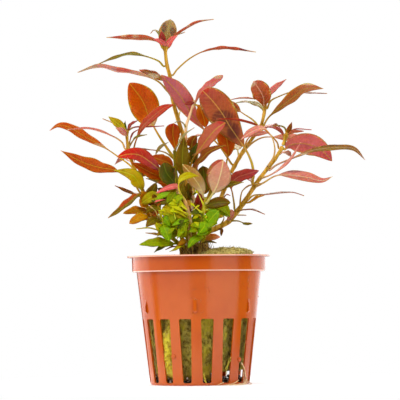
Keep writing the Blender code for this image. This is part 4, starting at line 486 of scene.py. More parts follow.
# More small leaves and bare stalks low in the plant, in the same form
FILL_LEAVES = [
    ("left_shoot", [
        (70, [(-15.6, -8.6, 72.4), (-13, -10.4, 73.8), (-8, -11.6, 74.2)],
         0.12, 3.0, (0, -0.9, 0.6), LANCE, "leaf_green"),
        (69.6, [(-14, -9.4, 71), (-10, -10.8, 72.2), (-5.6, -11.4, 72.6)],
         0.1, 3.6, (0, -1, 0.5), OVATE, "olive"),
        (70.4, [(-16.4, -6, 73.6), (-19, -6.6, 72.6), (-22, -7, 70.6)], 0.1, 4.4, FRONT, ROUND, "yellow"),
        (70.2, [(-16.6, -11, 71.2), (-15, -12, 71.8), (-12.6, -12.6, 72.2)],
         0.1, 1.2, (0, -1, 0.8), LANCE, "coral"),
    ]),
    ("front_left_stem", [
        (66, [(-6.6, -12, 67.4), (-10, -13, 68.2), (-15.3, -13.8, 67.9)],
         0.25, 3.0, (0, -1, 0.6), LANCE, "lit_yellow"),
        (68.6, [(-6, -11.4, 69.8), (-8, -12.4, 70.8), (-11.4, -13, 70.4)],
         0.2, 2.8, (0, -1, 0.5), OVATE, "lit_yellow"),
        (64.6, [(-5, -11.8, 64.2), (-7, -12.8, 63.6), (-10.2, -13.4, 62)],
         0.12, 2.6, (0, -1, 0.6), OVATE, "leaf_green"),
        (63.6, [(-4.8, -11.4, 62.6), (-6.4, -13, 60.2), (-8.3, -13.6, 56.8)],
         0.1, 3.2, FRONT, LANCE, "green"),
        (62, [(-2, -11.6, 62.4), (0, -12.6, 62.2), (1.8, -13, 61.8)],
         0.1, 2.6, (0, -1, 0.5), OVATE, "lit_yellow"),
        (57, [(-3.6, -8.4, 58.8), (-5.4, -10, 60.4), (-6.6, -10.6, 62)], 0.25, 2.2, TILTED, LANCE, "yellow"),
        (70, [(-5.4, -8, 72), (-6.4, -7.6, 75), (-5.4, -7, 79)], 0.12, 4.4, FRONT, LANCE, "olive"),
    ]),
    ("left_shoot", [
        (64.4, [(-12.6, -10.6, 64.6), (-11.8, -11.4, 63.4), (-11, -11.6, 61.8)],
         0.1, 3.4, FRONT, ROUND, "leaf_green"),
        (62.4, [(-11, -7.4, 62.6), (-9.4, -8, 60.4), (-9.4, -8.2, 57)], 0.12, 3.4, FRONT, OVATE, "green"),
        (59.6, [(-14.4, -9.4, 60.8), (-15.8, -10.6, 62.4), (-16.2, -11, 63.4)],
         0.12, 3.4, (0, -1, 0.3), OVATE, "lit_yellow"),
        (66.4, [(-12.6, -7.6, 66.6), (-10.6, -8.4, 65.6), (-8.6, -9, 65.4)],
         0.12, 3.6, FRONT, OVATE, "lit_yellow"),
        (68, [(-16.6, -7, 69), (-18.6, -7.6, 68.4), (-20, -8, 67)], 0.1, 2.6, FRONT, OVATE, "olive"),
    ]),
    ("front_shoot", [
        (65.4, [(-9.6, -12, 66.8), (-10.6, -12.6, 68.4), (-12.6, -12.8, 69.6)],
         0.12, 3.0, FRONT, OVATE, "yellow"),
        (62, [(-9.4, -12, 63.8), (-10, -12.6, 65.8), (-9, -12.8, 67.6)], 0.12, 3.2, FRONT, OVATE, "green"),
        (68.8, [(-10.4, -11, 71), (-10, -11.6, 73), (-8.4, -12, 75)], 0.12, 4.0, FRONT, OVATE, "green"),
        (66.8, [(-7.6, -8.8, 68.4), (-6.6, -9, 69.8), (-6.4, -9, 71.4)],
         0.12, 3.6, FRONT, ROUND, "lit_yellow"),
        (55, [(-7.4, -11, 54), (-9, -12, 52.8), (-11.2, -12.6, 52.1)], 0.12, 2.2, TILTED, LANCE, "yellow"),
    ]),
    ("left_shoot", [
        (54, [(-9.6, -7, 54), (-11, -8, 53.6), (-12.8, -8.6, 52.8)], 0.2, 1.2, UP, NARROW, "red"),
    ]),
    ("left_centre_stem", [
        (66, [(-8.4, -5, 68), (-10.6, -6.6, 70.6), (-11.4, -7, 73)], 0.15, 4.2, FRONT, OVATE, "yellow"),
        (62, [(-7.4, -5.4, 63.6), (-8.2, -7, 66), (-7.4, -7.6, 69)], 0.15, 4.2, FRONT, OVATE, "lit_yellow"),
        (58, [(-6.6, -5, 59.6), (-7.6, -6, 61.6), (-7.4, -6.4, 63.6)], 0.15, 3.6, FRONT, OVATE, "yellow"),
        (70, [(-9, -4.4, 72.4), (-8.6, -6, 75.4), (-7.4, -6.6, 79)], 0.15, 4.6, FRONT, OVATE, "olive"),
        (71, [(-10.8, -3, 73), (-13, -4, 75), (-15.6, -4.4, 76.6)], 0.15, 4.0, FRONT, OVATE, "dark_olive"),
        (75, [(-10.4, -2.4, 76.6), (-12.6, -3, 78.2), (-15.6, -3.4, 79)],
         0.12, 3.0, (0, -1, 0.5), OVATE, "orange"),
    ]),
    ("centre_stem", [
        (66, [(-3.4, -4.4, 67.6), (-5.6, -6, 69.4), (-7, -7, 72)], 0.2, 3.4, FRONT, OVATE, "brown"),
        (62, [(-2.6, -4, 63.4), (-4.8, -5.4, 64.8), (-6.6, -6.4, 67)], 0.2, 3.4, FRONT, OVATE, "yellow"),
        (71, [(-3.2, -4, 73), (-3.8, -5, 75.6), (-3, -5.4, 79)], 0.15, 3.6, FRONT, OVATE, "dark_olive"),
        (68, [(0.2, -4.6, 69.4), (0.8, -6.4, 72), (1.2, -7.4, 75.8)], 0.15, 3.8, FRONT, OVATE, "wine"),
        (65, [(0.2, -5, 66), (-0.4, -6, 68.4), (-1.4, -6.6, 71)], 0.15, 3.2, FRONT, OVATE, "brown"),
        (60, [(-1.2, -5.6, 61.6), (-1, -7.6, 64), (-0.6, -8.4, 67)], 0.12, 4.6, FRONT, OVATE, "leaf_green"),
        (57, [(-1.6, -6, 58), (-3.4, -7, 60), (-4.2, -7.6, 62.4)], 0.12, 3.0, FRONT, OVATE, "yellow"),
    ]),
    ("front_centre_stem", [
        (61.6, [(0.6, -11.4, 61.4), (-1.4, -12.6, 60.6), (-3.8, -13.2, 59.4)],
         0.1, 3.4, (0, -1, 0.4), OVATE, "green"),
        (60.6, [(2.6, -11.4, 60.2), (1.2, -12.8, 59.2), (-0.6, -13.2, 58.4)],
         0.1, 3.6, FRONT, OVATE, "leaf_green"),
        (63.4, [(2.6, -12, 63.4), (2.2, -13, 61.4), (0.4, -13.6, 59)],
         0.08, 4.6, FRONT, ROUND, "leaf_green"),
        (65.6, [(3.4, -11.6, 65.4), (5.6, -12.4, 63.6), (7.4, -12.8, 62.4)],
         0.1, 3.6, (0, -1, 0.4), OVATE, "leaf_green"),
        (66.6, [(0.8, -11, 67.4), (-1.4, -11.4, 69.4), (-3, -11.6, 70.8)],
         0.7, 1.4, FRONT, NARROW, "lit_yellow"),
        (67.6, [(6, -9, 68), (9, -8, 67.6), (11.4, -7.6, 65)], 0.2, 3.6, FRONT, LANCE, "leaf_green"),
        (69.6, [(1.4, -11.4, 71.6), (0.4, -12, 73.8), (-0.9, -12.4, 75.6)],
         0.8, 1.2, FRONT, NARROW, "lit_yellow"),
        (65, [(0.2, -8.4, 66), (-1.6, -8.8, 66.6), (-2.8, -9, 66.2)], 0.3, 1.8, TILTED, LANCE, "lit_yellow"),
    ]),
    ("front_left_stem", [
        (65, [(-2.4, -11.4, 67), (-0.8, -12.6, 68.8), (0.6, -13.2, 69.8)],
         0.8, 1.0, FRONT, NARROW, "lit_yellow"),
        (68, [(-6.2, -12, 69.4), (-8.4, -13, 71.2), (-10, -13.4, 72.4)],
         0.7, 1.2, FRONT, NARROW, "lit_yellow"),
        (66.6, [(-5.6, -12, 67.2), (-8, -13, 68.8), (-11, -13.4, 69.8)],
         0.4, 2.0, (0, -1, 0.5), NARROW, "lit_yellow"),
        (63, [(-5, -11, 63.6), (-7.4, -12, 65.4), (-9.6, -12.4, 66.6)], 0.5, 1.6, FRONT, NARROW, "yellow"),
        (60, [(-4.8, -10.6, 60), (-6.8, -11.6, 59.2), (-8.8, -12, 57.6)], 0.4, 1.8, FRONT, NARROW, "green"),
    ]),
    ("front_shoot", [
        (63, [(-8.8, -12.4, 65), (-9.4, -13.2, 67), (-9.8, -13.6, 69.2)],
         0.8, 1.0, FRONT, NARROW, "lit_yellow"),
        (60, [(-9, -12, 61), (-10.6, -13, 60), (-12, -13.4, 58.4)], 0.4, 1.8, FRONT, NARROW, "green"),
        (67.4, [(-8.2, -12.4, 68.2), (-7, -13.2, 70), (-6.6, -13.6, 72)],
         0.6, 1.4, FRONT, NARROW, "lit_yellow"),
    ]),
    ("left_shoot", [
        (62, [(-13.6, -9, 64), (-14.2, -10, 66), (-14.2, -10.4, 68)], 0.8, 0.9, FRONT, NARROW, "lit_yellow"),
        (65, [(-15.6, -9.4, 66), (-16.6, -10, 68), (-18.8, -10.4, 69.8)], 0.8, 0.9, FRONT, NARROW, "blush"),
        (61, [(-13.6, -9.4, 60.6), (-14.8, -10.6, 59.4), (-16, -11, 57.8)],
         0.4, 1.8, FRONT, NARROW, "yellow"),
        (67.6, [(-15.4, -9.6, 69), (-15.4, -10.4, 70), (-14.2, -10.8, 71)],
         0.6, 1.1, FRONT, NARROW, "orange"),
    ]),
    ("front_centre_stem", [
        (64, [(3, -12, 65), (4.4, -13, 66.6), (5.8, -13.4, 66.6)], 0.7, 1.0, FRONT, NARROW, "lit_yellow"),
        (67.4, [(0.4, -11.4, 67), (-0.6, -12.2, 65.6), (-2, -12.6, 64.6)],
         0.5, 1.6, FRONT, NARROW, "lit_yellow"),
        (59, [(0.8, -10.6, 60), (-1.2, -12, 61.6), (-3, -12.6, 63.4)], 0.5, 1.6, FRONT, NARROW, "yellow"),
    ]),
    ("right_back_stem", [
        (70, [(9.8, 3, 72.4), (11, 1, 73.8), (12.6, 0, 73.4)], 0.2, 1.6, TILTED, LANCE, "pink"),
        (66, [(5, 1, 67), (3.4, -0.6, 68.6), (2.6, -1, 71)], 0.15, 4.0, FRONT, OVATE, "olive"),
        (60, [(2.4, 0.4, 61), (1, -1.4, 62.6), (0.6, -2, 65)], 0.15, 4.0, FRONT, OVATE, "green"),
    ]),
    ("right_stem", [
        (62.8, [(12.4, -5, 65.2), (13.2, -5.6, 67), (12.2, -6, 68)], 0.15, 2.2, FRONT, OVATE, "pink"),
        (61.4, [(9.9, -5, 64.4), (9.6, -5.6, 67), (9.3, -6, 69)], 0.8, 1.0, FRONT, NARROW, "grey"),
        (60.6, [(8.9, -4.6, 60.3), (8.9, -5, 59), (8.8, -5.2, 57.7)], 0.3, 1.5, FRONT, CUPPED, "brown"),
    ]),
    ("left_stem", [
        (68, [(-17.6, -5, 69), (-16.4, -6, 71.6), (-17.4, -6.6, 74.4)], 0.12, 4.2, FRONT, OVATE, "brown"),
        (72.4, [(-19, -4, 73.6), (-17.4, -5.4, 75.8), (-16, -6, 78.8)],
         0.12, 4.2, FRONT, OVATE, "dark_olive"),
        (66, [(-16.8, -3, 67), (-15.6, -4, 68.6), (-15.4, -4.4, 70.4)], 0.12, 3.0, FRONT, OVATE, "orange"),
    ]),
    ("back_shoot", [
        (62, [(-5.4, 12, 64), (-8.6, 12.6, 67), (-10.4, 13, 70)], 0.15, 4.4, (0, 1, 0.4), OVATE, "green"),
        (65.6, [(-1.4, 13.4, 67), (2.6, 14.4, 69), (6, 15, 70.6)], 0.15, 4.4, (0, 1, 0.4), OVATE, "olive"),
        (58.6, [(-0.6, 12, 60), (3, 13.4, 61), (6.6, 14, 60.4)],
         0.15, 4.0, (0, 1, 0.5), OVATE, "lit_yellow"),
        (72.4, [(-2.6, 14, 74.6), (-3.6, 14.6, 77), (-3.4, 15, 80)],
         0.15, 4.4, (0, 1, 0.3), OVATE, "yellow"),
    ]),
    ("right_back_stem", [
        (76, [(9.6, 9, 78), (7, 11, 80.4), (4.6, 12, 83.4)], 0.2, 4.6, (0, 1, 0.4), OVATE, "bronze"),
        (64, [(6.6, 8, 65.6), (10, 10.6, 67), (13.6, 12, 66.6)], 0.15, 4.4, (0, 1, 0.5), OVATE, "green"),
    ]),
    ("left_stem", [
        (62, [(-14.6, 4, 63.6), (-17.6, 7, 65), (-21, 8.6, 64.6)], 0.15, 4.2, (0, 1, 0.5), OVATE, "olive"),
        (80, [(-22, 3.4, 82), (-20, 6, 85), (-19.4, 7, 88.6)], 0.2, 4.6, (0, 1, 0.3), OVATE, "brown"),
    ]),
    ("left_centre_stem", [
        (76, [(-6.6, 4, 78), (-5.4, 7, 80.6), (-5.6, 8.4, 84)], 0.2, 4.8, (0, 1, 0.3), OVATE, "olive"),
        (68, [(-8.6, 4, 70), (-11.4, 7, 72), (-14.4, 8.6, 72.4)], 0.2, 4.6, (0, 1, 0.4), OVATE, "yellow"),
    ]),
]

FUSED_LEAVES = [Leaf(stem, *row) for stem, rows in [*SMALL_LEAVES, *FILL_LEAVES] for row in rows]

# Colours are hex codes as seen in daylight. A look gives a leaf's petiole, then its shown side at the base,
# middle and tip, its margin, its midrib, and its other side.
Look = namedtuple("Look", "petiole base middle tip margin rib other")
LOOKS = {
    "golden": Look("b88f14", "b88010", "a8700c", "8a5208", "9a6608", "d8b040", "a08018"),
    "olive": Look("a89414", "786c04", "685c00", "6c4c04", "504600", "908418", "a0843c"),
    "dark_olive": Look("a0900c", "5e5600", "564a00", "5c4800", "3c3400", "78700c", "8a7c30"),
    "yellow": Look("d8c838", "ccc01c", "b0a204", "988800", "807600", "c8c020", "b4ac28"),
    "lit_yellow": Look("ece43c", "d8d400", "c4c404", "b0b004", "a0a404", "dce020", "c4c428"),
    "green": Look("c4c41c", "a0ac00", "8ca000", "749000", "5c7800", "acb414", "98a420"),
    "leaf_green": Look("ccd020", "98b408", "7ca400", "669600", "588400", "a4bc10", "8ca42c"),
    "dark_green": Look("909010", "50600c", "485608", "504c0c", "303c04", "747c1c", "7c8434"),
    "grey": Look("a08c28", "948438", "8a8048", "988c70", "706830", "b8a868", "a08c60"),
    "khaki": Look("b08060", "8c7038", "8c7840", "988858", "685828", "a89058", "a08c60"),
    "bronze": Look("b89c38", "945430", "94542c", "984838", "7c3c20", "c89444", "b06840"),
    "pale_rib": Look("b8883c", "904c1c", "a0582c", "a85c44", "844428", "e0a888", "b06840"),
    "tan": Look("b08c28", "785404", "8c541c", "985c3c", "784818", "a07c28", "a46448"),
    "brown": Look("a8861c", "845004", "743e04", "783808", "542800", "a08018", "a46448"),
    "dusk": Look("b89070", "a06c38", "7c6424", "7c5c34", "583c18", "c89878", "a87868"),
    "dusty": Look("b09030", "b8946c", "cc8c80", "9c9070", "8c7858", "d0a888", "cc9088"),
    "orange": Look("b89818", "b46008", "a44c00", "a44400", "843400", "c08818", "c07030"),
    "ochre": Look("b4a028", "bc9000", "b47e00", "ac6c00", "885800", "c09818", "b88c28"),
    "red": Look("b08020", "904418", "a04028", "b43020", "842410", "b87044", "b45848"),
    "scarlet": Look("b08c28", "944040", "a43020", "c81c08", "841c10", "c48c38", "b85040"),
    "wine": Look("a0801c", "903c2c", "882c20", "903034", "6c1c10", "a85840", "a05450"),
    "salmon": Look("b89428", "b0643c", "ac5c40", "b44840", "944028", "b09428", "8a5c10"),
    "mauve": Look("c09a30", "b4685c", "ac6464", "a45860", "944c50", "b88828", "b87068"),
    "rose": Look("c0982c", "b05c50", "b86460", "a84c50", "944844", "b88438", "7c6c10"),
    "coral": Look("d4b078", "d4705c", "d85c58", "d45458", "b84048", "e4a080", "8c6020"),
    "pink": Look("c8a058", "cc8c74", "c87c6c", "c06c60", "b06450", "e4cc9c", "8a5020"),
    "pale_pink": Look("ccc068", "ccac80", "cc9474", "c87c68", "c48068", "e8dca0", "8a5020"),
    "blush": Look("c8b460", "d4bc8c", "b48c44", "946824", "9c6c40", "e0cc80", "96601c"),
    "peach": Look("b8a020", "b8900c", "d07c30", "e09478", "d07850", "dc9c40", "c08040"),
}

# Patches on the leaves: (x, height, half width, half height, kind). The first kind is painted shade, which
# multiplies the colour by the dark tint below; the other two kinds paint red and pale tones.
PAINTED_SHADE, RED, PALE = range(3)
PAINTED_SHADE_TINT = (0.36, 0.4, 0.8, 1)
MARKS = {
    "broad_bronze_leaf": ((9.8, 103.2, 4.8, 3.8, PAINTED_SHADE), (13.9, 98.4, 2.8, 3.8, PAINTED_SHADE),
                          (2, 114.2, 3.2, 1.5, RED)),
    "big_orange_leaf": ((-17, 101.5, 2.6, 2.6, PALE),),
    "bright_red_leaf": ((-28.6, 89.6, 4.2, 2.6, RED), (-24, 91.6, 3, 1, RED)),
    "long_left_leaf": ((-35, 92, 3.4, 2.2, PALE), (-38.4, 93, 2.4, 1.4, PALE), (-57, 99.4, 1.2, 1, RED)),
    "folded_leaf": ((-23.8, 74.9, 1.7, 1, RED), (-25, 74, 1.7, 1, RED), (-26.2, 73.1, 1.7, 1, RED),
                    (-27.4, 72.2, 1.7, 1, RED), (-28.6, 71.2, 1.7, 1, RED), (-29.8, 70.2, 1.7, 1, RED)),
    "grey_red_leaf": ((21, 116.8, 2.4, 1.6, PALE),),
    "rolled_leaf": ((8.2, 119.4, 2, 0.9, PALE), (10.2, 119.6, 0.9, 0.9, RED)),
    "top_left_leaf": ((-28, 136, 1.6, 0.8, PALE), (-23.5, 135.6, 1.6, 0.7, PALE), (-34, 135.3, 2, 1, PALE)),
    "top_right_leaf": ((5, 141.6, 3.4, 1, PALE), (-3.5, 139.6, 1.6, 0.8, PALE)),
    "drooping_leaf": ((-28.4, 122.2, 3.6, 1.4, RED), (-42.6, 123.4, 3.6, 1.6, PALE)),
    "arching_right_leaf": ((21.6, 129.2, 2.4, 1, PALE), (18.4, 130, 1.8, 1, PAINTED_SHADE)),
    "blunt_leaf": ((-17, 120, 3, 1.2, PALE), (-21.6, 122.6, 1.6, 0.9, RED)),
    "wide_olive_leaf": ((44, 116.4, 5, 0.8, PALE),),
    "arched_pink_leaf": ((51.4, 80.4, 1.8, 1, PAINTED_SHADE), (37, 82.6, 5, 0.7, PAINTED_SHADE)),
    "long_olive_leaf": ((50, 92.6, 7, 0.8, PAINTED_SHADE), (43, 89, 4, 0.6, PALE)),
    "ochre_leaf": ((-21.6, 69, 2, 1.4, PAINTED_SHADE),),
    "deep_red_leaf": ((-9.2, 101.4, 3.6, 1.1, RED),),
    "salmon_leaf": ((10.6, 102, 3, 1.3, RED),),
    "striped_pink_leaf": ((27.4, 98.2, 3.4, 0.8, RED),),
    "top_back_leaf": ((-12.4, 139, 1.2, 2.4, PAINTED_SHADE), (-9, 137.4, 1.2, 2, PAINTED_SHADE)),
}

Part = namedtuple("Part", "points faces slot blade lines marks", defaults=(None, None, None))
PotRow = namedtuple("PotRow", "radius height inner_radius inner_height angles cells")


def linear(code):
    """A hex colour as linear red, green, blue and alpha."""
    channels = [int(code[i:i + 2], 16) / 255 for i in (0, 2, 4)]
    return (*[c / 12.92 if c < 0.04045 else ((c + 0.055) / 1.055) ** 2.4 for c in channels], 1)


def unit(vectors):
    return vectors / np.linalg.norm(vectors, axis=-1, keepdims=True)


def ramp(values, low, high):
    """Rises smoothly from 0 at low to 1 at high."""
    t = np.clip((values - low) / (high - low), 0, 1)
    return t * t * (3 - 2 * t)


def noise(points, size, seed):
    """Smooth noise from -1 to 1 whose lumps are about that size."""
    cells = points / size
    corner = np.floor(cells)
    inside = cells - corner
    inside = inside * inside * (3 - 2 * inside)
    total = np.zeros(points.shape[:-1])
    for step in np.ndindex(2, 2, 2):
        wave = np.sin((corner + step) @ np.array((127.1, 311.7, 74.7)) + 17.3 * seed) * 43758.5453
        total += (wave - np.floor(wave)) * np.where(step, inside, 1 - inside).prod(axis=-1)
    return 2 * total - 1


def seen(points):
    """World places in millimetres of points given as (x in the front view, depth, height in the front view).

    The front view's heights are counted from SIGHT_DROP below the pot's foot.
    """
    points = np.array(points, float).reshape(-1, 3)
    spread = 1 + points[:, 1] / EYE_DISTANCE
    return np.stack([points[:, 0] * spread, points[:, 1],
                     EYE_HEIGHT + (points[:, 2] - SIGHT_DROP - EYE_HEIGHT) * spread], axis=1)


def front_height(points):
    return SIGHT_DROP + EYE_HEIGHT + (points[:, 2] - EYE_HEIGHT) / (1 + points[:, 1] / EYE_DISTANCE)


def smooth_route(points, steps):
    """A curve through the points, with that many steps to each span."""
    ends = np.vstack([2 * points[0] - points[1], points, 2 * points[-1] - points[-2]])
    t = (np.arange(steps) / steps)[:, None]
    spans = []
    for before, start, end, after in zip(ends, ends[1:], ends[2:], ends[3:]):
        bend = (2 * before - 5 * start + 4 * end - after) * t**2
        twist = (3 * start - before - 3 * end + after) * t**3
        spans.append((2 * start + (end - before) * t + bend + twist) / 2)
    return np.vstack([*spans, points[-1:]])


def route_length(route):
    return np.linalg.norm(np.diff(route, axis=0), axis=1).sum()


def along(route, shares):
    """Points and headings at these shares of the route's length."""
    gone = np.concatenate([[0], np.cumsum(np.linalg.norm(np.diff(route, axis=0), axis=1))])
    headings = np.gradient(route, axis=0)
    wanted = np.asarray(shares) * gone[-1]
    places = np.stack([np.interp(wanted, gone, route[:, i]) for i in range(3)], axis=1)
    turned = np.stack([np.interp(wanted, gone, headings[:, i]) for i in range(3)], axis=1)
    return places, unit(turned)


def stem_at(stem, height):
    """Centre, heading and radius of the stem where the front view shows it at this height."""
    route = smooth_route(seen(stem.points), 8)
    index = int(np.argmin(np.abs(front_height(route[:-1]) - height)))
    share = index / (len(route) - 1)
    radius = stem.foot_radius + (stem.tip_radius - stem.foot_radius) * share
    return route[index], unit(route[index + 1] - route[index]), radius


def leaf_route(leaf, fused):
    """The midrib, from just inside the stem to the tip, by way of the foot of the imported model's leaf."""
    centre, heading, radius = stem_at(STEMS[leaf.stem], leaf.foot_z)
    points = seen(leaf.points)
    away = points[0] - centre
    away = unit(away - away.dot(heading) * heading)
    if fused:
        return smooth_route(np.vstack([centre, points]), 12)
    inner = centre + away * radius * 0.3
    return np.vstack([inner, smooth_route(np.vstack([centre + away * (radius + LEAF_GAP), points]), 12)])


def half_width(leaf, shares):
    """Half of the leaf's width, from the foot of its petiole at 0 to its tip at 1."""
    petiole = PETIOLE_HALF_WIDTH * np.clip(leaf.width / THICK_FROM_WIDTH, 1, 1.4) * (1 - shares)
    s = np.clip((shares - leaf.petiole) / (1 - leaf.petiole), 0, 1)
    bulge = np.clip(np.sin(np.pi * s ** leaf.form.belly), 0, 1)
    return np.maximum(np.hypot(petiole, leaf.width / 2 * bulge ** leaf.form.fullness), TIP_HALF_WIDTH)


def ring_faces(rows, columns):
    """Quads of a tube with that many rows and columns, and a cap on each end."""
    row, column = np.meshgrid(np.arange(rows - 1), np.arange(columns), indexing="ij")
    after = (column + 1) % columns
    quads = np.stack([row * columns + column, row * columns + after,
                      (row + 1) * columns + after, (row + 1) * columns + column], axis=-1)
    caps = [list(range(columns))[::-1], list(range((rows - 1) * columns, rows * columns))]
    return quads.reshape(-1, 4).tolist() + caps


def leaf_marks(points, marks):
    """How much painted shade, red and pale each point of a leaf takes, from its marks in the front view."""
    flat = points.reshape(-1, 3)
    nearness = 1 + flat[:, 1] / EYE_DISTANCE
    given = np.zeros((len(flat), 3))
    for x, height, half_wide, half_tall, kind in marks:
        gap = ((flat[:, 0] / nearness - x) / half_wide) ** 2
        gap += ((front_height(flat) - height) / half_tall) ** 2
        given[:, kind] = np.maximum(given[:, kind], np.exp(-gap))
    return given


def leaf_relief(blade, u, x, run, width, draw):
    """How far the blade leaves its plain fold: a rippled margin, a curl and raised side veins."""
    beat = draw.uniform(2.2, 3.6) * blade + draw.uniform(0, 1) + 0.4 * (u > 0)
    ripple = np.sin(2 * np.pi * beat) * np.abs(u) ** 3 * width * draw.uniform(*RIPPLE)
    curl = -draw.uniform(0.0, MOST_CURL) * width * np.abs(u) ** 4
    slant = run - VEIN_SLANT * np.abs(x) - VEIN_BOW * x**2
    vein = np.sin(2 * np.pi * slant / VEIN_STEP) * VEIN_RELIEF * (1 - u**4)
    return ripple + curl + vein * np.minimum(width / 2, 1)


def leaf_depths(shares, u, x, open_share):
    """How far the upper and the other side stand off the blade's middle: oval in the petiole, then thin
    with a midrib."""
    depth = PETIOLE_HALF_DEPTH * (1 - 0.7 * shares)[:, None]
    oval = np.sqrt(1 - u**2)
    rib = depth * np.exp(-(x / RIB_SPREAD) ** 2)
    thin = BLADE_HALF_DEPTH * oval
    stalk = depth * oval * (1 - open_share)
    over = stalk + (thin + 0.15 * rib) * open_share
    under = stalk + (thin + 1.1 * rib * (1 - u**2)) * open_share
    return over, under


def leaf_data(leaf, shares, blade, u, x, run):
    """What the material reads at each point. Blade data: share of the length, share of the half width, and
    1 on the shown side. Line data: distance from the midrib, distance along it, and 1 on the petiole."""
    columns = u.shape[1]
    mirrored = np.concatenate([np.arange(columns), np.arange(columns - 2, 0, -1)])
    whole = np.ones((len(shares), len(mirrored)))
    shown = 1.0 if leaf.face[1] < 0 else 0.0
    sides = np.concatenate([np.full(columns, shown), np.full(columns - 2, 1 - shown)])
    sides[[0, columns - 1]] = 0.5
    blade_data = np.stack([blade * whole, np.abs(u)[:, mirrored] * whole, sides * whole], axis=-1)
    petiole = 1 - ramp(shares / max(leaf.petiole, 0.06), 0.6, 1.25)
    beside = max(1.0, RIB_LEAF_WIDTH / leaf.width) * np.abs(x)[:, mirrored]
    line_data = np.stack([beside, run * whole, petiole[:, None] * whole], axis=-1)
    return blade_data.reshape(-1, 3), line_data.reshape(-1, 3)


def leaf_part(leaf, fused, slot, seed, name=None):
    """One leaf: a petiole that opens into a thin blade with a midrib, side veins and a rippled margin.

    Across the leaf, u runs from -1 to 1 between the margins, and x is the same in millimetres.
    """
    route = leaf_route(leaf, fused)
    length = route_length(route)
    rows = int(np.clip(length / (FUSED_LEAF_STEP if fused else LEAF_STEP), *LEAF_ROWS))
    shares = np.linspace(0, 1, rows)
    middle, heading = along(route, shares)
    face = np.array(leaf.face, float)
    up = unit(face - (heading @ face)[:, None] * heading)
    side = np.cross(heading, up)
    width = half_width(leaf, shares)[:, None]
    blade = np.clip((shares - leaf.petiole) / (1 - leaf.petiole), 0, 1)[:, None]
    spread = np.linspace(-1, 1, FUSED_LEAF_COLUMNS if fused else LEAF_COLUMNS)[None, :]
    u = spread * (0.5 + 0.5 * spread**2)
    x = width * u
    run = shares[:, None] * length
    open_share = ramp(blade, 0, 0.1)
    fold = np.radians(leaf.form.fold) * np.minimum(shares / FOLDED_FROM, 1)[:, None]
    lift = (np.sqrt(x**2 + 0.1) - math.sqrt(0.1)) * np.sin(fold)
    level = lift + leaf_relief(blade, u, x, run, width, np.random.default_rng(seed)) * open_share
    over, under = leaf_depths(shares, u, x, open_share)
    centre = middle[:, None] + side[:, None] * (x * np.cos(fold))[..., None]
    top = centre + up[:, None] * (level + over)[..., None]
    low = centre + up[:, None] * (level - under)[..., None]
    points = np.concatenate([top, low[:, -2:0:-1]], axis=1)
    blade_data, line_data = leaf_data(leaf, shares, blade, u, x, run)
    return Part(points.reshape(-1, 3), ring_faces(rows, points.shape[1]), slot,
                blade_data, line_data, leaf_marks(points, MARKS.get(name, ())))


def strands(routes, radii, sides, slot):
    """Round strands, one for each row of routes, all with the same number of points."""
    count, rows = routes.shape[:2]
    headings = unit(np.gradient(routes, axis=1))
    guide = np.where(np.abs(headings[..., 2:]) > 0.9, np.array((1.0, 0, 0)), UP_AXIS)
    first = unit(np.cross(headings, guide))
    second = np.cross(headings, first)
    turn = (np.arange(sides) * 2 * np.pi / sides)[:, None]
    ring = np.cos(turn) * first[:, :, None] + np.sin(turn) * second[:, :, None]
    points = routes[:, :, None] + ring * radii[:, :, None, None]
    one = ring_faces(rows, sides)
    faces = [[index * rows * sides + corner for corner in face] for index in range(count) for face in one]
    return Part(points.reshape(-1, 3), faces, slot)


def make_piece(name, parts, materials):
    """Joins the parts into one mesh object, with a material slot for each material."""
    points = np.vstack([part.points for part in parts]) * MM
    faces, slots, start = [], [], 0
    for part in parts:
        faces += [[corner + start for corner in face] for face in part.faces]
        slots += [part.slot] * len(part.faces)
        start += len(part.points)
    mesh = bpy.data.meshes.new(name)
    mesh.from_pydata(points.tolist(), [], faces)
    mesh.polygons.foreach_set("material_index", slots)
    for key in ("blade", "lines", "marks"):
        rows = [np.zeros((len(part.points), 3)) if getattr(part, key) is None else getattr(part, key)
                for part in parts]
        layer = mesh.attributes.new(key, "FLOAT_VECTOR", "POINT")
        layer.data.foreach_set("vector", np.vstack(rows).astype(np.float32).ravel())
    mesh.shade_smooth()
    for material in materials:
        mesh.materials.append(material)
    obj = bpy.data.objects.new(name, mesh)
    bpy.context.scene.collection.objects.link(obj)
    return obj


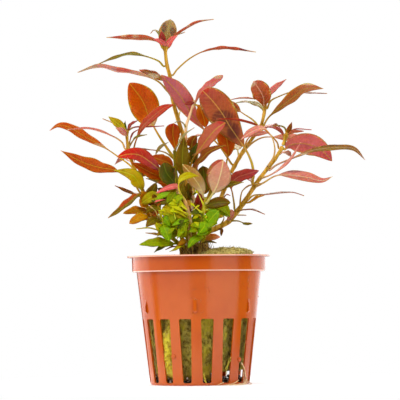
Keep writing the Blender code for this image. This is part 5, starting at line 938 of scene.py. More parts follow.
class Shader:
    """A material's node tree, with short calls for the nodes used here."""

    def __init__(self, name):
        self.material = bpy.data.materials.new(name)
        self.material.use_nodes = True
        self.tree = self.material.node_tree
        self.surface = self.tree.nodes["Principled BSDF"]
        self.place = self.node("ShaderNodeTexCoord").outputs["Object"]

    def node(self, kind, **settings):
        made = self.tree.nodes.new(kind)
        for key, value in settings.items():
            setattr(made, key, value)
        return made

    def put(self, value, socket):
        if isinstance(value, bpy.types.NodeSocket):
            self.tree.links.new(value, socket)
        else:
            socket.default_value = value

    def math(self, operation, a, b=0.0):
        made = self.node("ShaderNodeMath", operation=operation)
        self.put(a, made.inputs[0])
        self.put(b, made.inputs[1])
        return made.outputs[0]

    def fade(self, value, low, high, bottom=0.0, top=1.0):
        """A smooth step from bottom at low to top at high."""
        made = self.node("ShaderNodeMapRange", interpolation_type="SMOOTHSTEP")
        for socket, given in zip(made.inputs, (value, low, high, bottom, top)):
            self.put(given, socket)
        return made.outputs[0]

    def mix(self, share, a, b, blend="MIX"):
        made = self.node("ShaderNodeMix", data_type="RGBA", blend_type=blend)
        self.put(share, made.inputs[0])
        self.put(a, made.inputs[6])
        self.put(b, made.inputs[7])
        return made.outputs[2]

    def noise(self, scale, detail=3.0, stretch=(1, 1, 1), distortion=0.0):
        mapping = self.node("ShaderNodeMapping")
        mapping.inputs["Scale"].default_value = stretch
        self.put(self.place, mapping.inputs[0])
        made = self.node("ShaderNodeTexNoise")
        self.put(mapping.outputs[0], made.inputs["Vector"])
        made.inputs["Scale"].default_value = scale
        made.inputs["Detail"].default_value = detail
        made.inputs["Distortion"].default_value = distortion
        return made.outputs["Fac"]

    def attribute(self, name):
        made = self.node("ShaderNodeAttribute", attribute_name=name)
        split = self.node("ShaderNodeSeparateXYZ")
        self.put(made.outputs["Vector"], split.inputs[0])
        return split.outputs

    def bump(self, height, strength, distance):
        made = self.node("ShaderNodeBump")
        made.inputs["Strength"].default_value = strength
        made.inputs["Distance"].default_value = distance
        self.put(height, made.inputs["Height"])
        self.put(made.outputs[0], self.surface.inputs["Normal"])

    def finish(self, colour, roughness, glow=0.0, radius=(1.0, 0.4, 0.15), shine=0.5):
        self.put(colour, self.surface.inputs["Base Color"])
        self.surface.inputs["Specular IOR Level"].default_value = shine
        self.put(roughness, self.surface.inputs["Roughness"])
        self.surface.inputs["Subsurface Weight"].default_value = glow
        self.surface.inputs["Subsurface Radius"].default_value = radius
        self.surface.inputs["Subsurface Scale"].default_value = 0.0012
        return self.material


def leaf_material(name, look):
    """Upper or under side, darker margin, marks of painted shade, red and pale, pale midrib and side veins,
    petiole colour and soft mottling.
    """
    s = Shader("leaf_" + name)
    share, across, shown = s.attribute("blade")
    offset, run, petiole = s.attribute("lines")
    lower = s.mix(s.fade(share, 0.0, 0.5), linear(look.base), linear(look.middle))
    colour = s.mix(s.fade(share, 0.55, 1.0), lower, linear(look.tip))
    patches = s.noise(260.0, 4.0, distortion=0.4)
    colour = s.mix(s.math("MULTIPLY", s.fade(patches, 0.45, 0.7), 0.55), colour, linear(look.margin))
    colour = s.mix(s.fade(across, 0.72, 1.0, 0.0, 0.7), colour, linear(look.margin))
    front = s.math("GREATER_THAN", shown, 0.5)
    colour = s.mix(front, linear(look.other), colour)
    bow = s.math("MULTIPLY", s.math("MULTIPLY", offset, offset), VEIN_BOW)
    slant = s.math("SUBTRACT", s.math("SUBTRACT", run, s.math("MULTIPLY", offset, VEIN_SLANT)), bow)
    wave = s.math("SINE", s.math("MULTIPLY", slant, 2 * math.pi / VEIN_STEP))
    # Marks: the first channel is painted shade, which multiplies the colour by a dark tint; the others paint
    # red and pale tones.
    dark, red, pale = s.attribute("marks")
    uneven = s.math("MULTIPLY", s.math("SUBTRACT", s.noise(300.0, 3.0), 0.5), 0.35)
    for kind, tone, strength in ((dark, None, 0.85), (red, "b02018", 0.6), (pale, "b4a480", 0.7)):
        place = s.math("ADD", kind, s.math("MULTIPLY", uneven, s.math("GREATER_THAN", kind, 0.05)))
        other = s.mix(1.0, colour, PAINTED_SHADE_TINT, "MULTIPLY") if tone is None else linear(tone)
        colour = s.mix(s.fade(place, 0.3, 0.62, 0.0, strength), colour, other)
    faint = s.fade(s.noise(180.0, 2.0), 0.4, 0.65, 0.0, 0.2)
    vein = s.math("MULTIPLY", s.fade(wave, 0.75, 1.0), faint)
    rib = s.fade(offset, 0.1, 0.3, 0.72, 0.0)
    lines = s.math("MAXIMUM", vein, rib)
    colour = s.mix(lines, colour, linear(look.rib))
    colour = s.mix(petiole, colour, linear(look.petiole))
    fine = s.noise(1500.0, 4.0)
    darker = s.mix(1.0, colour, (0.55, 0.5, 0.45, 1), "MULTIPLY")
    colour = s.mix(s.fade(fine, 0.3, 0.7, 0.0, 0.3), colour, darker)
    s.bump(s.math("ADD", fine, s.math("MULTIPLY", wave, -0.3)), 0.35, 0.0002)
    return s.finish(colour, s.fade(patches, 0.3, 0.7, 0.3, 0.5), 0.35, (1.0, 0.35, 0.05), 0.08)


def stem_material(name, low, high):
    """Fine upright streaks between two tones, with darker specks."""
    s = Shader("stem_" + name)
    streaks = s.noise(900.0, 4.0, (1, 1, 0.12))
    colour = s.mix(s.fade(streaks, 0.35, 0.65), linear(low), linear(high))
    patches = s.noise(140.0, 3.0)
    darker = s.mix(1.0, colour, linear("a06a3c"), "MULTIPLY")
    colour = s.mix(s.fade(patches, 0.5, 0.75, 0.0, 0.35), colour, darker)
    s.bump(streaks, 0.3, 0.0002)
    return s.finish(colour, s.fade(patches, 0.3, 0.7, 0.3, 0.48), 0.25, shine=0.14)


STEM_COLOURS = {
    "golden": ("9c7004", "d8a83c"),
    "stem_pink": ("c48850", "f0cc98"),
    "olive": ("786c00", "b0a020"),
    "yellow": ("989000", "ccc030"),
    "blush": ("eca850", "ffe4a4"),
}


def pot_material(name, low_roughness, high_roughness):
    """Semi-gloss orange plastic with painted highlight lines along the band's lower lip and the rim's lower
    edge, flow marks, dust and scratches.
    """
    s = Shader(name)
    split = s.node("ShaderNodeSeparateXYZ")
    s.put(s.place, split.inputs[0])
    squares = s.math("ADD", s.math("POWER", split.outputs[0], 2), s.math("POWER", split.outputs[1], 2))
    out = s.math("SQRT", squares)
    broad = s.noise(45.0, 3.0)
    colour = s.mix(s.fade(broad, 0.35, 0.7), linear("c45806"), linear("b84c00"))
    # Painted highlights: thin pale lines along the band's lower lip and the rim's lower edge.
    painted_highlight_lines = 0.0
    for height, radius in ((NECK_Z + 0.15, BAND_RADIUS - 0.5), (FLANGE_Z + 0.2, RIM_RADIUS - 0.25)):
        near = s.math("ABSOLUTE", s.math("SUBTRACT", split.outputs[2], height * MM))
        line = s.fade(near, 0.0002, 0.0004, 1.0, 0.0)
        outside = s.fade(out, (radius - 0.2) * MM, radius * MM)
        painted_highlight_lines = s.math("MAXIMUM", painted_highlight_lines, s.math("MULTIPLY", line, outside))
    colour = s.mix(s.math("MULTIPLY", painted_highlight_lines, 0.6), colour, linear("ffd8c0"))
    dust = s.noise(2600.0, 2.0)
    colour = s.mix(s.fade(dust, 0.7, 0.8, 0.0, 0.3), colour, linear("e8a070"))
    scratches = s.noise(700.0, 3.0, (1, 1, 0.15), 0.5)
    s.bump(s.math("ADD", scratches, s.math("MULTIPLY", dust, 0.5)), 0.12, 0.0003)
    rough = s.fade(broad, 0.3, 0.7, low_roughness, high_roughness)
    return s.finish(colour, rough, 0.2, (1.0, 0.25, 0.02))


def wool_material():
    """Wet mineral wool with algae: olive, yellow-green and brown, with yellow and dark places."""
    s = Shader("rockwool")
    fibre = s.noise(900.0, 6.0, (1, 1, 0.8), 0.5)
    cloud = s.noise(170.0, 4.0, (1, 1, 0.8), 0.4)
    colour = s.mix(s.fade(fibre, 0.34, 0.64), linear("605008"), linear("b8a84c"))
    colour = s.mix(s.fade(cloud, 0.49, 0.62, 0.0, 0.65), colour, linear("c4b42c"))
    colour = s.mix(s.fade(cloud, 0.34, 0.46, 0.65, 0.0), colour, linear("483808"))
    mossy = s.mix(s.fade(fibre, 0.36, 0.6), linear("746420"), linear("bca864"))
    split = s.node("ShaderNodeSeparateXYZ")
    s.put(s.place, split.inputs[0])
    colour = s.mix(s.fade(split.outputs[2], *MOSS_LEVELS, 0.0, 0.85), colour, mossy)
    bright, dark, low = s.attribute("blade")
    yellow = s.mix(s.fade(fibre, 0.35, 0.6), linear("a07c08"), linear("dccc38"))
    colour = s.mix(s.math("MULTIPLY", bright, 0.8), colour, yellow)
    colour = s.mix(s.math("MULTIPLY", low, 0.6), colour, linear("ccb848"))
    colour = s.mix(s.math("MULTIPLY", dark, 0.9), colour, linear("382004"))
    s.bump(fibre, 0.5, 0.0006)
    return s.finish(colour, 0.8, 0.15, shine=0.1)


def grit_material():
    """Wet dark grit with a few pale grains."""
    s = Shader("grit")
    grain = s.noise(1300.0, 2.0)
    colour = s.mix(s.fade(grain, 0.5, 0.58), linear("34220c"), linear("a09080"))
    s.bump(grain, 0.6, 0.0003)
    return s.finish(colour, 0.5, shine=0.3)


def plain_streaked(name, low, high, roughness):
    """Fine streaks between two tones, for fibres, moss and roots."""
    s = Shader(name)
    streaks = s.noise(1100.0, 4.0)
    s.bump(streaks, 0.4, 0.0003)
    return s.finish(s.mix(s.fade(streaks, 0.3, 0.7), linear(low), linear(high)), roughness, 0.15, shine=0.15)


def stem_part(name, stem, slot):
    """The stem, slightly swollen at each leaf's foot and slightly uneven."""
    route = smooth_route(seen(stem.points), 8)
    rows = int(route_length(route) / 0.7)
    shares = np.linspace(0, 1, rows)
    middle, _ = along(route, shares)
    radius = stem.foot_radius + (stem.tip_radius - stem.foot_radius) * shares
    heights = front_height(middle)
    for leaf in [*LARGE_LEAVES.values(), *FUSED_LEAVES]:
        if leaf.stem == name:
            radius = radius * (1 + 0.16 * np.exp(-((heights - leaf.foot_z) / 0.7) ** 2))
    radius *= 1 + 0.05 * noise(middle, 2.0, 3)
    radius[-1] *= 0.4
    return strands(middle[None], radius[None], 14, slot)


def wall_radius(height):
    return FOOT_RADIUS + (NECK_RADIUS - FOOT_RADIUS) * np.clip(height / NECK_Z, 0, 1)


def ring_angles(sectors, half_columns, half_angle, shift=0):
    """Column angles in radians: each sector has an opening of 2 * half_columns cells about its middle."""
    per = POT_COLUMNS // sectors
    column = np.arange(POT_COLUMNS) - shift
    sector = (column + per // 2) // per
    offset = column - sector * per
    step = 2 * np.pi / sectors
    share = (np.abs(offset) - half_columns) / (per / 2 - half_columns)
    beyond = half_angle + share * (step / 2 - half_angle)
    inside = offset / half_columns * half_angle
    return sector * step + np.where(np.abs(offset) <= half_columns, inside, np.sign(offset) * beyond)


def open_columns(sectors, half_columns, shift=0):
    per = POT_COLUMNS // sectors
    offset = (np.arange(POT_COLUMNS) - shift + per // 2) % per - per // 2
    return (offset >= -half_columns) & (offset < half_columns)


def slot_half_angle(height):
    """Half of a wall slot's opening, which narrows at its rounded corners."""
    share = (height - SLOT_FOOT_Z) / (SLOT_TOP_Z - SLOT_FOOT_Z)
    half = (SLOT_FOOT_WIDTH + (SLOT_TOP_WIDTH - SLOT_FOOT_WIDTH) * share) / 2
    corner = max(0.0, 1 - min(SLOT_TOP_Z - height, height - SLOT_FOOT_Z) / SLOT_CORNER)
    return math.asin((half - SLOT_CORNER * (1 - math.sqrt(1 - corner**2))) / wall_radius(height))


def pot_rows():
    """Rows from the middle of the floor outwards, up the wall, round the band and out to the rim."""
    first = math.radians(FIRST_SLOT_DEGREES - 90)
    whole = np.zeros(POT_COLUMNS, bool)
    even = np.arange(POT_COLUMNS) * 2 * np.pi / POT_COLUMNS + first
    floor_turn = math.radians(FLOOR_SLOT_TURN)
    rows = []
    for radius in FLOOR_RADII:
        half_angle = math.asin(min(FLOOR_SLOT_WIDTH / 2 / radius, 0.3))
        angles = ring_angles(FLOOR_SLOTS, FLOOR_SLOT_COLUMNS, half_angle, FLOOR_SLOT_SHIFT)
        angles = angles + first + floor_turn
        cells = open_columns(FLOOR_SLOTS, FLOOR_SLOT_COLUMNS, FLOOR_SLOT_SHIFT)
        cells = cells & (FLOOR_SLOT_INNER <= radius < FLOOR_SLOT_OUTER)
        rows.append(PotRow(radius, 0.0, radius, WALL, angles, cells))
    rows.append(PotRow(FLOOR_EDGE_RADIUS, 0.0, FLOOR_EDGE_RADIUS, WALL, even, whole))
    rows.append(PotRow(FOOT_RADIUS - 0.5, 0.0, FOOT_RADIUS - WALL - 0.2, WALL, even, whole))
    rows.append(PotRow(FOOT_RADIUS, 0.5, FOOT_RADIUS - WALL, WALL + 0.1, even, whole))
    heights = [SLOT_FOOT_Z + SLOT_CORNER * share for share in (0, 0.3, 1)]
    heights += list(np.linspace(SLOT_FOOT_Z + 2, SLOT_TOP_Z - 2, 12))
    heights += [SLOT_TOP_Z - SLOT_CORNER * share for share in (1, 0.3, 0)]
    for height in heights:
        radius = wall_radius(height)
        angles = ring_angles(SLOTS, SLOT_COLUMNS, slot_half_angle(height)) + first
        cells = open_columns(SLOTS, SLOT_COLUMNS) & (height < SLOT_TOP_Z)
        rows.append(PotRow(radius, height, radius - WALL, height, angles, cells))
    last = rows[-1].angles
    for height in WALL_HEIGHTS:
        radius = wall_radius(height)
        inner = height + (WALL if height == NECK_Z else 0)
        rows.append(PotRow(radius, height, radius - WALL, inner, last, whole))
    band = BAND_RADIUS
    rows.append(PotRow(band - 0.35, NECK_Z, band - WALL - 0.1, NECK_Z + WALL, last, whole))
    rows.append(PotRow(band, NECK_Z + 0.4, band - WALL, NECK_Z + WALL + 0.1, last, whole))
    rows.append(PotRow(band + 0.06, NECK_Z + 3, band + 0.06 - WALL, NECK_Z + 3, last, whole))
    rows.append(PotRow(band + 0.1, FLANGE_Z, band + 0.1 - WALL, POT_HEIGHT, last, whole))
    rows.append(PotRow(RIM_RADIUS, FLANGE_Z, RIM_RADIUS, POT_HEIGHT, last, whole))
    return rows


def pot_shell():
    """The wall, band, rim and slotted floor as one closed skin."""
    rows = pot_rows()
    columns = POT_COLUMNS
    outer, inner = [], []
    for row in rows:
        turn = np.stack([np.cos(row.angles), np.sin(row.angles)], axis=1)
        outer.append(np.column_stack([turn * row.radius, np.full(columns, row.height)]))
        inner.append(np.column_stack([turn * row.inner_radius, np.full(columns, row.inner_height)]))
    inside = len(rows) * columns
    faces = []
    for index in range(len(rows) - 1):
        for c in np.flatnonzero(~rows[index].cells):
            after = (c + 1) % columns
            a, b = index * columns + c, index * columns + after
            d, e = a + columns, b + columns
            faces += [[a, b, e, d], [inside + d, inside + e, inside + b, inside + a]]
            if rows[index].cells[c - 1]:
                faces.append([a, d, inside + d, inside + a])
            if rows[index].cells[after]:
                faces.append([e, b, inside + b, inside + e])
            if index and rows[index - 1].cells[c]:
                faces.append([b, a, inside + a, inside + b])
            if index == len(rows) - 2 or rows[index + 1].cells[c]:
                faces.append([d, e, inside + e, inside + d])
    faces += [list(range(columns))[::-1], list(range(inside, inside + columns))]
    faces = [[int(corner) for corner in face] for face in faces]
    return Part(np.vstack([*outer, *inner]), faces, 0)


def on_wall(degrees, height, proud):
    """A point that far proud of the wall. Degrees are to the right of the pot's front."""
    angle = np.radians(np.asarray(degrees, float) - 90)
    radius = wall_radius(np.asarray(height, float)) + proud
    return np.stack([radius * np.cos(angle), radius * np.sin(angle), height + 0 * radius], axis=-1)


def wedge_part(degrees):
    """A small moulded wedge that stands out most near its foot."""
    outline = []
    for height, proud, width in WEDGE_LEVELS:
        spread = math.degrees(width / 2 / wall_radius(height))
        outline += [on_wall(degrees - spread, height, proud), on_wall(degrees + spread, height, proud),
                    on_wall(degrees + spread, height, -0.4), on_wall(degrees - spread, height, -0.4)]
    return Part(np.array(outline), ring_faces(len(WEDGE_LEVELS), 4), 0)


def boss_part(degrees, height):
    """A small round boss on a rib."""
    turn = np.arange(BOSS_SIDES) * 2 * np.pi / BOSS_SIDES
    outline = [on_wall(degrees + np.degrees(BOSS_RADIUS * share * np.cos(turn) / wall_radius(height)),
                       height + BOSS_RADIUS * share * np.sin(turn), proud) for proud, share in BOSS_RINGS]
    return Part(np.vstack(outline), ring_faces(len(BOSS_RINGS), BOSS_SIDES), 0)


def droplet_part(degrees, height, width, tall, turn):
    """A flat drop of water or a scuff standing on the wall, turned by that many degrees."""
    corner = np.arange(DROP_SIDES) * 2 * np.pi / DROP_SIDES
    slant = math.radians(turn)
    rings = []
    for share, proud in DROP_RINGS:
        x, z = width / 2 * share * np.cos(corner), tall / 2 * share * np.sin(corner)
        across, up = x * math.cos(slant) - z * math.sin(slant), x * math.sin(slant) + z * math.cos(slant)
        rings.append(on_wall(degrees + np.degrees(across / wall_radius(height)), height + up, proud))
    return Part(np.vstack(rings), ring_faces(len(DROP_RINGS), DROP_SIDES), 1)


def wall_drops():
    """The marks that the photo shows near the middle of the wall, and fine drops all round."""
    draw = np.random.default_rng(31)
    parts = [droplet_part(*place) for place in DROPS]
    for _ in range(FINE_DROPS):
        degrees, height = draw.uniform(-180, 180), draw.uniform(26.2, 42.6)
        size = draw.uniform(0.12, 0.32)
        parts.append(droplet_part(degrees, height, size, size * draw.uniform(1, 1.8), draw.uniform(-20, 20)))
    return parts


def add_bevel(obj, width):
    bevel = obj.modifiers.new("Bevel", "BEVEL")
    bevel.width = width * MM
    bevel.segments = 2
    bevel.limit_method = "ANGLE"
    bevel.angle_limit = math.radians(40)
    bevel.use_clamp_overlap = True


def make_pot():
    parts = [pot_shell()]
    parts += [wedge_part(WEDGE_DEGREES + index * 360 / WEDGES) for index in range(WEDGES)]
    parts += [boss_part(*place) for place in BOSSES]
    parts += wall_drops()
    materials = [pot_material("pot_plastic", 0.12, 0.2), pot_material("wet_plastic", 0.08, 0.14)]
    pot = make_piece("fine_pot", parts, materials)
    pot.data.set_sharp_from_angle(angle=math.radians(35))
    add_bevel(pot, POT_BEVEL)
    declare(pot, "pot")


def wool_radius(height, angle):
    """Radius of the plug, with its upright folds."""
    lumps = WOOL_LUMP_SHARE * np.sin(WOOL_LUMPS * angle + WOOL_LUMP_TURN)
    folds = WOOL_FOLD_SHARE * np.sin(WOOL_FOLDS * angle + WOOL_FOLD_TWIST * height)
    foot = np.clip(1 - (height - WOOL_FOOT_Z) / WOOL_FOOT_ROUNDING, 0, 1)
    inside = wall_radius(height) - WOOL_INSET - WOOL_CLEARANCE
    return inside + WOOL_RELIEF * (lumps + folds - 1) / 2 - WOOL_FOOT_INSET * foot**2


def wool_top(x, y):
    """Height of the mossy top, which is raised to the right of the stems."""
    gap = np.hypot(x - MOSS_CENTRE[0], y - MOSS_CENTRE[1])
    ripple = 0.25 * np.sin(1.3 * x) * np.cos(1.1 * y)
    return WOOL_TOP_Z + MOSS_RISE * np.exp(-(gap / MOSS_SPREAD) ** 4) + ripple


def patch(points, degrees, half, low, high):
    """1 inside a patch of the side, that many degrees to the right of the front, fading to 0 outside."""
    angle = np.degrees(np.arctan2(points[..., 1], points[..., 0])) + 90
    across = np.exp(-((angle - degrees) / half) ** 4)
    return across * ramp(points[..., 2], low, low + 3) * (1 - ramp(points[..., 2], high - 3, high))


def wool_side(height, angle, lift=0.0):
    """Points on the plug's side, which bulges out in one front slot and lacks the right of its foot."""
    radius = wool_radius(height, angle) + lift
    side = np.stack([radius * np.cos(angle), radius * np.sin(angle), height + 0 * radius], axis=-1)
    bulge = BULGE * patch(side, BULGE_DEGREES, BULGE_HALF, 1.5, BULGE_TOP_Z)
    side[..., :2] *= 1 + bulge[..., None] / radius[..., None]
    side[..., 0] = np.minimum(side[..., 0], MISSING_FOOT_X + 18 * ramp(side[..., 2], *MISSING_FOOT_Z))
    return side


def wool_skin():
    """The plug's lumpy side and mossy top as one closed skin. Its blade data mark the bright, dark and low
    places."""
    columns, side_rows, top_rings = 240, 100, 44
    angle = np.arange(columns) * 2 * np.pi / columns
    heights = np.linspace(1.7, 48.1, side_rows)
    side = wool_side(heights[:, None], angle[None, :])
    shares = (1 - (np.arange(1, top_rings + 1) / (top_rings + 0.5)))[:, None]
    x, y = side[-1][None, :, 0] * shares, side[-1][None, :, 1] * shares
    top = np.stack([x, y, wool_top(x, y)], axis=-1)
    stretch = np.array((1, 1, 0.45))
    bump = 0.55 * noise(side * stretch, 2.2, 1) + 0.35 * noise(side * stretch, 0.9, 2)
    bump = bump + 0.15 * noise(side, 0.4, 3)
    side[..., :2] *= 1 + bump[..., None] / np.linalg.norm(side[..., :2], axis=-1, keepdims=True)
    rough = 0.5 * noise(top, 1.9, 4) + 0.35 * noise(top, 0.8, 5) + 0.2 * noise(top, 0.4, 6)
    top[..., 2] += rough
    points = np.vstack([side.reshape(-1, 3), top.reshape(-1, 3)])
    bright = patch(points, BULGE_DEGREES, BULGE_HALF, 1, BULGE_TOP_Z) + 0.6 * patch(points, -37, 6, 20, 30)
    marks = [bright, patch(points, 54, 7, 3, 17), 1 - ramp(points[:, 2], 3.2, 6.5)]
    return Part(points, ring_faces(side_rows + top_rings, columns), 0, np.column_stack(marks))


def tufts(count, seed, slot):
    """Short bent moss shoots and fibres standing on the plug's top."""
    draw = np.random.default_rng(seed)
    angle = draw.uniform(0, 2 * np.pi, count)
    radius = WOOL_TOP_RADIUS * np.sqrt(draw.uniform(0, 1, count))
    x, y = radius * np.cos(angle), radius * np.sin(angle)
    start = np.stack([x, y, wool_top(x, y) - 0.4], axis=1)
    lean = np.column_stack([draw.normal(0, 0.7, (count, 2)), draw.uniform(0.4, 1.1, count)])
    reach = draw.uniform(0.5, 1.3, count)[:, None] * unit(lean)
    bend = draw.normal(0, 0.25, (count, 3))
    t = np.linspace(0, 1, 4)[None, :, None]
    routes = start[:, None] + reach[:, None] * t + bend[:, None] * t**2
    return strands(routes, np.full((count, 4), 0.08) * np.linspace(1, 0.5, 4), 3, slot)


def wall_fibres(count, seed, slot):
    """Short loose fibres that stand a little off the plug's side behind the slots."""
    draw = np.random.default_rng(seed)
    angle = draw.uniform(0, 2 * np.pi, count)
    height = draw.uniform(2.6, SLOT_TOP_Z, count)
    start = wool_side(height, angle, 0.2)
    out = unit(start * (1, 1, 0))
    across = np.cross(UP_AXIS, out)
    lean = across * draw.normal(0, 0.55, (count, 1)) + out * draw.uniform(0, 0.5, (count, 1))
    lean = unit(lean + UP_AXIS * draw.normal(0, 1, (count, 1))) * draw.uniform(0.5, 1.7, (count, 1))
    bend = across * draw.normal(0, 0.35, (count, 1)) - out * draw.uniform(0, 0.4, (count, 1))
    t = np.linspace(0, 1, 4)[None, :, None]
    routes = start[:, None] + lean[:, None] * t + bend[:, None] * t**2
    return strands(routes, np.full((count, 4), 0.045), 3, slot)


def loose_strand(thickness, stations, slot):
    """A strand that hangs in a slot, just inside the wall's outer face."""
    degrees, heights = np.array(stations, float).T
    route = along(smooth_route(on_wall(degrees, heights, -0.2), 8), np.linspace(0, 1, 16))[0]
    return strands(route[None], np.full((1, 16), thickness), 6, slot)


def grains(count, seed, slot):
    """Wet grit on the pot's floor, piled a little against the wall."""
    draw = np.random.default_rng(seed)
    angle = draw.uniform(0, 2 * np.pi, count)
    share = np.sqrt(draw.uniform(0.3, 1, count))
    radius = (FOOT_RADIUS - WALL - 0.5) * share
    height = WALL + draw.uniform(0.1, 2.2, count) * share**3
    centre = np.stack([radius * np.cos(angle), radius * np.sin(angle), height], axis=1)
    corners = np.array([(1, 0, 0), (0, 1, 0), (-1, 0, 0), (0, -1, 0), (0, 0, 1), (0, 0, -1)], float)
    size = draw.uniform(0.2, 0.75, (count, 1, 1)) * draw.uniform(0.6, 1.3, (count, 6, 1))
    points = centre[:, None] + corners * size
    one = [(0, 1, 4), (1, 2, 4), (2, 3, 4), (3, 0, 4), (1, 0, 5), (2, 1, 5), (3, 2, 5), (0, 3, 5)]
    faces = [[6 * index + corner for corner in face] for index in range(count) for face in one]
    return Part(points.reshape(-1, 3), faces, slot)


def make_rockwool():
    fibre = plain_streaked("wool_fibre", "94842c", "d4c470", 0.7)
    moss = plain_streaked("moss", "70641c", "b4a458", 0.75)
    strand = plain_streaked("yellow_strand", "a89018", "dcc850", 0.6)
    parts = [wool_skin(), wall_fibres(FIBRES, 5, 1), tufts(TUFTS, 6, 2), grains(GRAINS, 7, 4)]
    parts += [loose_strand(thickness, stations, 3) for thickness, stations in LOOSE_STRANDS]
    materials = [wool_material(), fibre, moss, strand, grit_material()]
    declare(make_piece("fine_rockwool", parts, materials), "rockwool")


def crown_mound():
    """The dark heap of old roots under the stems' feet."""
    columns, rings = 40, 14
    turn = np.arange(columns) * 2 * np.pi / columns
    share = np.linspace(0.03, 1, rings)[:, None]
    x = CROWN_CENTRE[0] + CROWN_RADII[0] * share * np.cos(turn)
    y = CROWN_CENTRE[1] + CROWN_RADII[1] * share * np.sin(turn)
    floor = wool_top(x, y)
    skin = np.stack([x, y, floor + CROWN_RISE * (1 - share**2) + 0.4], axis=-1)[::-1]
    skin[..., 2] += 0.6 * noise(skin, 1.3, 7)
    lower = np.stack([x, y, floor + 0.2], axis=-1)
    points = np.vstack([skin.reshape(-1, 3), lower.reshape(-1, 3)])[::-1]
    return Part(points, ring_faces(2 * rings, columns), 0)


def crown_roots(stem, count, draw, slot):
    """Thin roots that leave the stem's lowest part and bend down and outwards into the plug."""
    route = smooth_route(seen(stem.points), 8)
    starts = along(route, draw.uniform(0, 4.5 / route_length(route), count))[0]
    turn = draw.uniform(0, 2 * np.pi, count)
    reach = draw.uniform(0.8, 4.6, count)
    ends = starts[:, :2] + reach[:, None] * np.stack([np.cos(turn), np.sin(turn)], axis=1)
    inward = np.minimum(1, 6.8 / np.linalg.norm(ends + 0.5, axis=1))[:, None]
    ends = ends * inward
    t = np.linspace(0, 1, 9)[None, :, None]
    ground = wool_top(ends[:, 0], ends[:, 1])[:, None] - 0.2
    level = starts[:, None, :2] + (ends[:, None] - starts[:, None, :2]) * t**0.8
    height = starts[:, None, 2:] + (ground[:, None] - starts[:, None, 2:]) * t**1.5
    routes = np.concatenate([level, height], axis=-1)
    routes += draw.normal(0, 0.16, routes.shape) * np.sin(np.pi * t)
    radii = draw.uniform(0.08, 0.2, (count, 1)) * np.linspace(1, 0.6, 9)[None, :]
    return strands(routes, radii, 6, slot)


def make_root_crown():
    """A knot of old roots and leaf bases where the stems leave the plug."""
    draw = np.random.default_rng(8)
    parts = [crown_mound()]
    for stem in STEMS.values():
        parts += [crown_roots(stem, 10, draw, 0), crown_roots(stem, 15, draw, 1)]
    dark = plain_streaked("old_roots", "483010", "8c6828", 0.7)
    golden = plain_streaked("young_roots", "9c7828", "d4b05c", 0.6)
    declare(make_piece("fine_root_crown", parts, [dark, golden]), "root_crown")


def make_trailing_root():
    """A few pale roots that hang out of a slot and run along the pot's foot."""
    routes, radii = [], []
    for thickness, stations in LOOSE_ROOTS:
        degrees, beyond, height = np.array(stations, float).T
        angle = np.radians(degrees - 90)
        radius = FOOT_RADIUS + beyond
        line = np.stack([radius * np.cos(angle), radius * np.sin(angle), height], axis=1)
        route = along(smooth_route(line, 12), np.linspace(0, 1, 48))[0]
        routes.append(route + (0.12 * noise(route, 1.6, len(routes)))[:, None])
        radii.append(thickness * np.linspace(1, 0.5, 48))
    finish = plain_streaked("pale_root", "b88c54", "e8cc9c", 0.5)
    piece = make_piece("fine_trailing_root", [strands(np.array(routes), np.array(radii), 8, 0)], [finish])
    declare(piece, "trailing_root")


def declare(piece, node):
    """The piece rides on the body and stands in for its node, whose imported part is hidden."""
    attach(piece, "root")
    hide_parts(node)


def make_plant():
    looks = {name: leaf_material(name, look) for name, look in LOOKS.items()}
    barks = {name: stem_material(name, *colours) for name, colours in STEM_COLOURS.items()}
    for number, (name, leaf) in enumerate(LARGE_LEAVES.items()):
        piece = make_piece("fine_" + name, [leaf_part(leaf, False, 0, number, name)], [looks[leaf.tone]])
        declare(piece, name)
    for name, stem in STEMS.items():
        own = [(number, leaf) for number, leaf in enumerate(FUSED_LEAVES) if leaf.stem == name]
        tones = sorted({leaf.tone for _, leaf in own})
        parts = [stem_part(name, stem, 0)]
        parts += [leaf_part(leaf, True, 1 + tones.index(leaf.tone), 100 + number) for number, leaf in own]
        materials = [barks[stem.tone], *[looks[tone] for tone in tones]]
        declare(make_piece("fine_" + name, parts, materials), name)


def place_camera():
    camera = bpy.data.objects.new("camera", bpy.data.cameras.new("camera"))
    bpy.context.scene.collection.objects.link(camera)
    camera.data.lens = CAMERA_LENS
    camera.data.clip_start = 0.01
    camera.location = Vector((0, -EYE_DISTANCE, EYE_HEIGHT)) * MM
    aim = Vector((PICTURE_CENTRE[0], 0, PICTURE_CENTRE[1])) * MM - camera.location
    turn = aim.to_track_quat("-Z", "Y") @ Quaternion((0, 0, 1), math.radians(-CAMERA_ROLL))
    camera.rotation_mode = "QUATERNION"
    camera.rotation_quaternion = turn
    bpy.context.scene.camera = camera


def add_lamp(name, place, aim, size, power, colour):
    lamp = bpy.data.objects.new(name, bpy.data.lights.new(name, "AREA"))
    bpy.context.scene.collection.objects.link(lamp)
    lamp.data.size = size
    lamp.data.energy = power
    lamp.data.color = colour
    lamp.location = place
    lamp.rotation_euler = (Vector(aim) - Vector(place)).to_track_quat("-Z", "Y").to_euler()


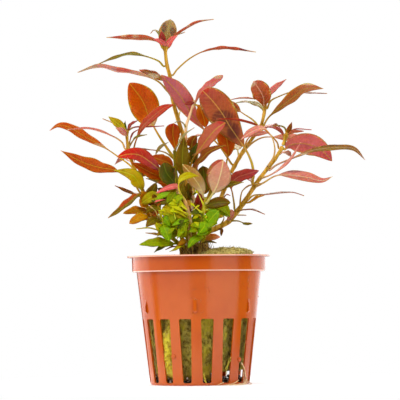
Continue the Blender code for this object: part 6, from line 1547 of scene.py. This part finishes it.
def set_world():
    """White where the camera sees it. Elsewhere a dim room with large bright panels round the object."""
    world = bpy.data.worlds.new("room")
    world.use_nodes = True
    s = Shader.__new__(Shader)
    s.tree = world.node_tree
    room = s.tree.nodes["Background"]
    split = s.node("ShaderNodeSeparateXYZ")
    s.put(s.node("ShaderNodeTexCoord").outputs["Generated"], split.inputs[0])
    around = s.math("ARCTAN2", split.outputs[0], s.math("MULTIPLY", split.outputs[1], -1))
    level = s.fade(split.outputs[2], 0.55, 0.85, ROOM_LIGHT, TOP_LIGHT)
    for middle, half, low, high, strength in PANELS:
        away = s.math("ABSOLUTE", s.math("SUBTRACT", around, math.radians(middle)))
        wide = s.fade(away, math.radians(half - 2), math.radians(half + 2), strength, 0.0)
        above = s.fade(split.outputs[2], low - 0.05, low + 0.05)
        below = s.fade(split.outputs[2], high - 0.05, high + 0.05, 1.0, 0.0)
        level = s.math("MAXIMUM", level, s.math("MULTIPLY", wide, s.math("MULTIPLY", above, below)))
    room.inputs["Color"].default_value = (0.97, 0.98, 1, 1)
    s.put(level, room.inputs["Strength"])
    white = s.node("ShaderNodeBackground")
    white.inputs["Color"].default_value = (1, 1, 1, 1)
    mixed = s.node("ShaderNodeMixShader")
    s.put(s.node("ShaderNodeLightPath").outputs["Is Camera Ray"], mixed.inputs[0])
    s.put(room.outputs[0], mixed.inputs[1])
    s.put(white.outputs[0], mixed.inputs[2])
    s.put(mixed.outputs[0], s.tree.nodes["World Output"].inputs["Surface"])
    bpy.context.scene.world = world


def make_floor():
    """A white floor that fades out, so that its edge doesn't show."""
    half = FLOOR_HALF
    corners = np.array([(-half, -half, 0), (half, -half, 0), (half, half, 0), (-half, half, 0)], float)
    s = Shader("floor")
    away = s.node("ShaderNodeVectorMath", operation="LENGTH")
    s.put(s.place, away.inputs[0])
    s.put(s.fade(away.outputs["Value"], 0.03, half * MM * 0.9, 1.0, 0.0), s.surface.inputs["Alpha"])
    grain = s.noise(60.0, 3.0)
    s.finish(s.mix(grain, (0.9, 0.9, 0.9, 1), (0.95, 0.95, 0.95, 1)), 0.9)
    make_piece("floor", [Part(corners, [[0, 1, 2, 3]], 0, None, None)], [s.material])


make_pot()
make_rockwool()
make_root_crown()
make_trailing_root()
make_plant()
make_floor()
place_camera()
set_world()
for lamp in LAMPS:
    add_lamp(*lamp)
bpy.context.scene.view_settings.view_transform = "Standard"
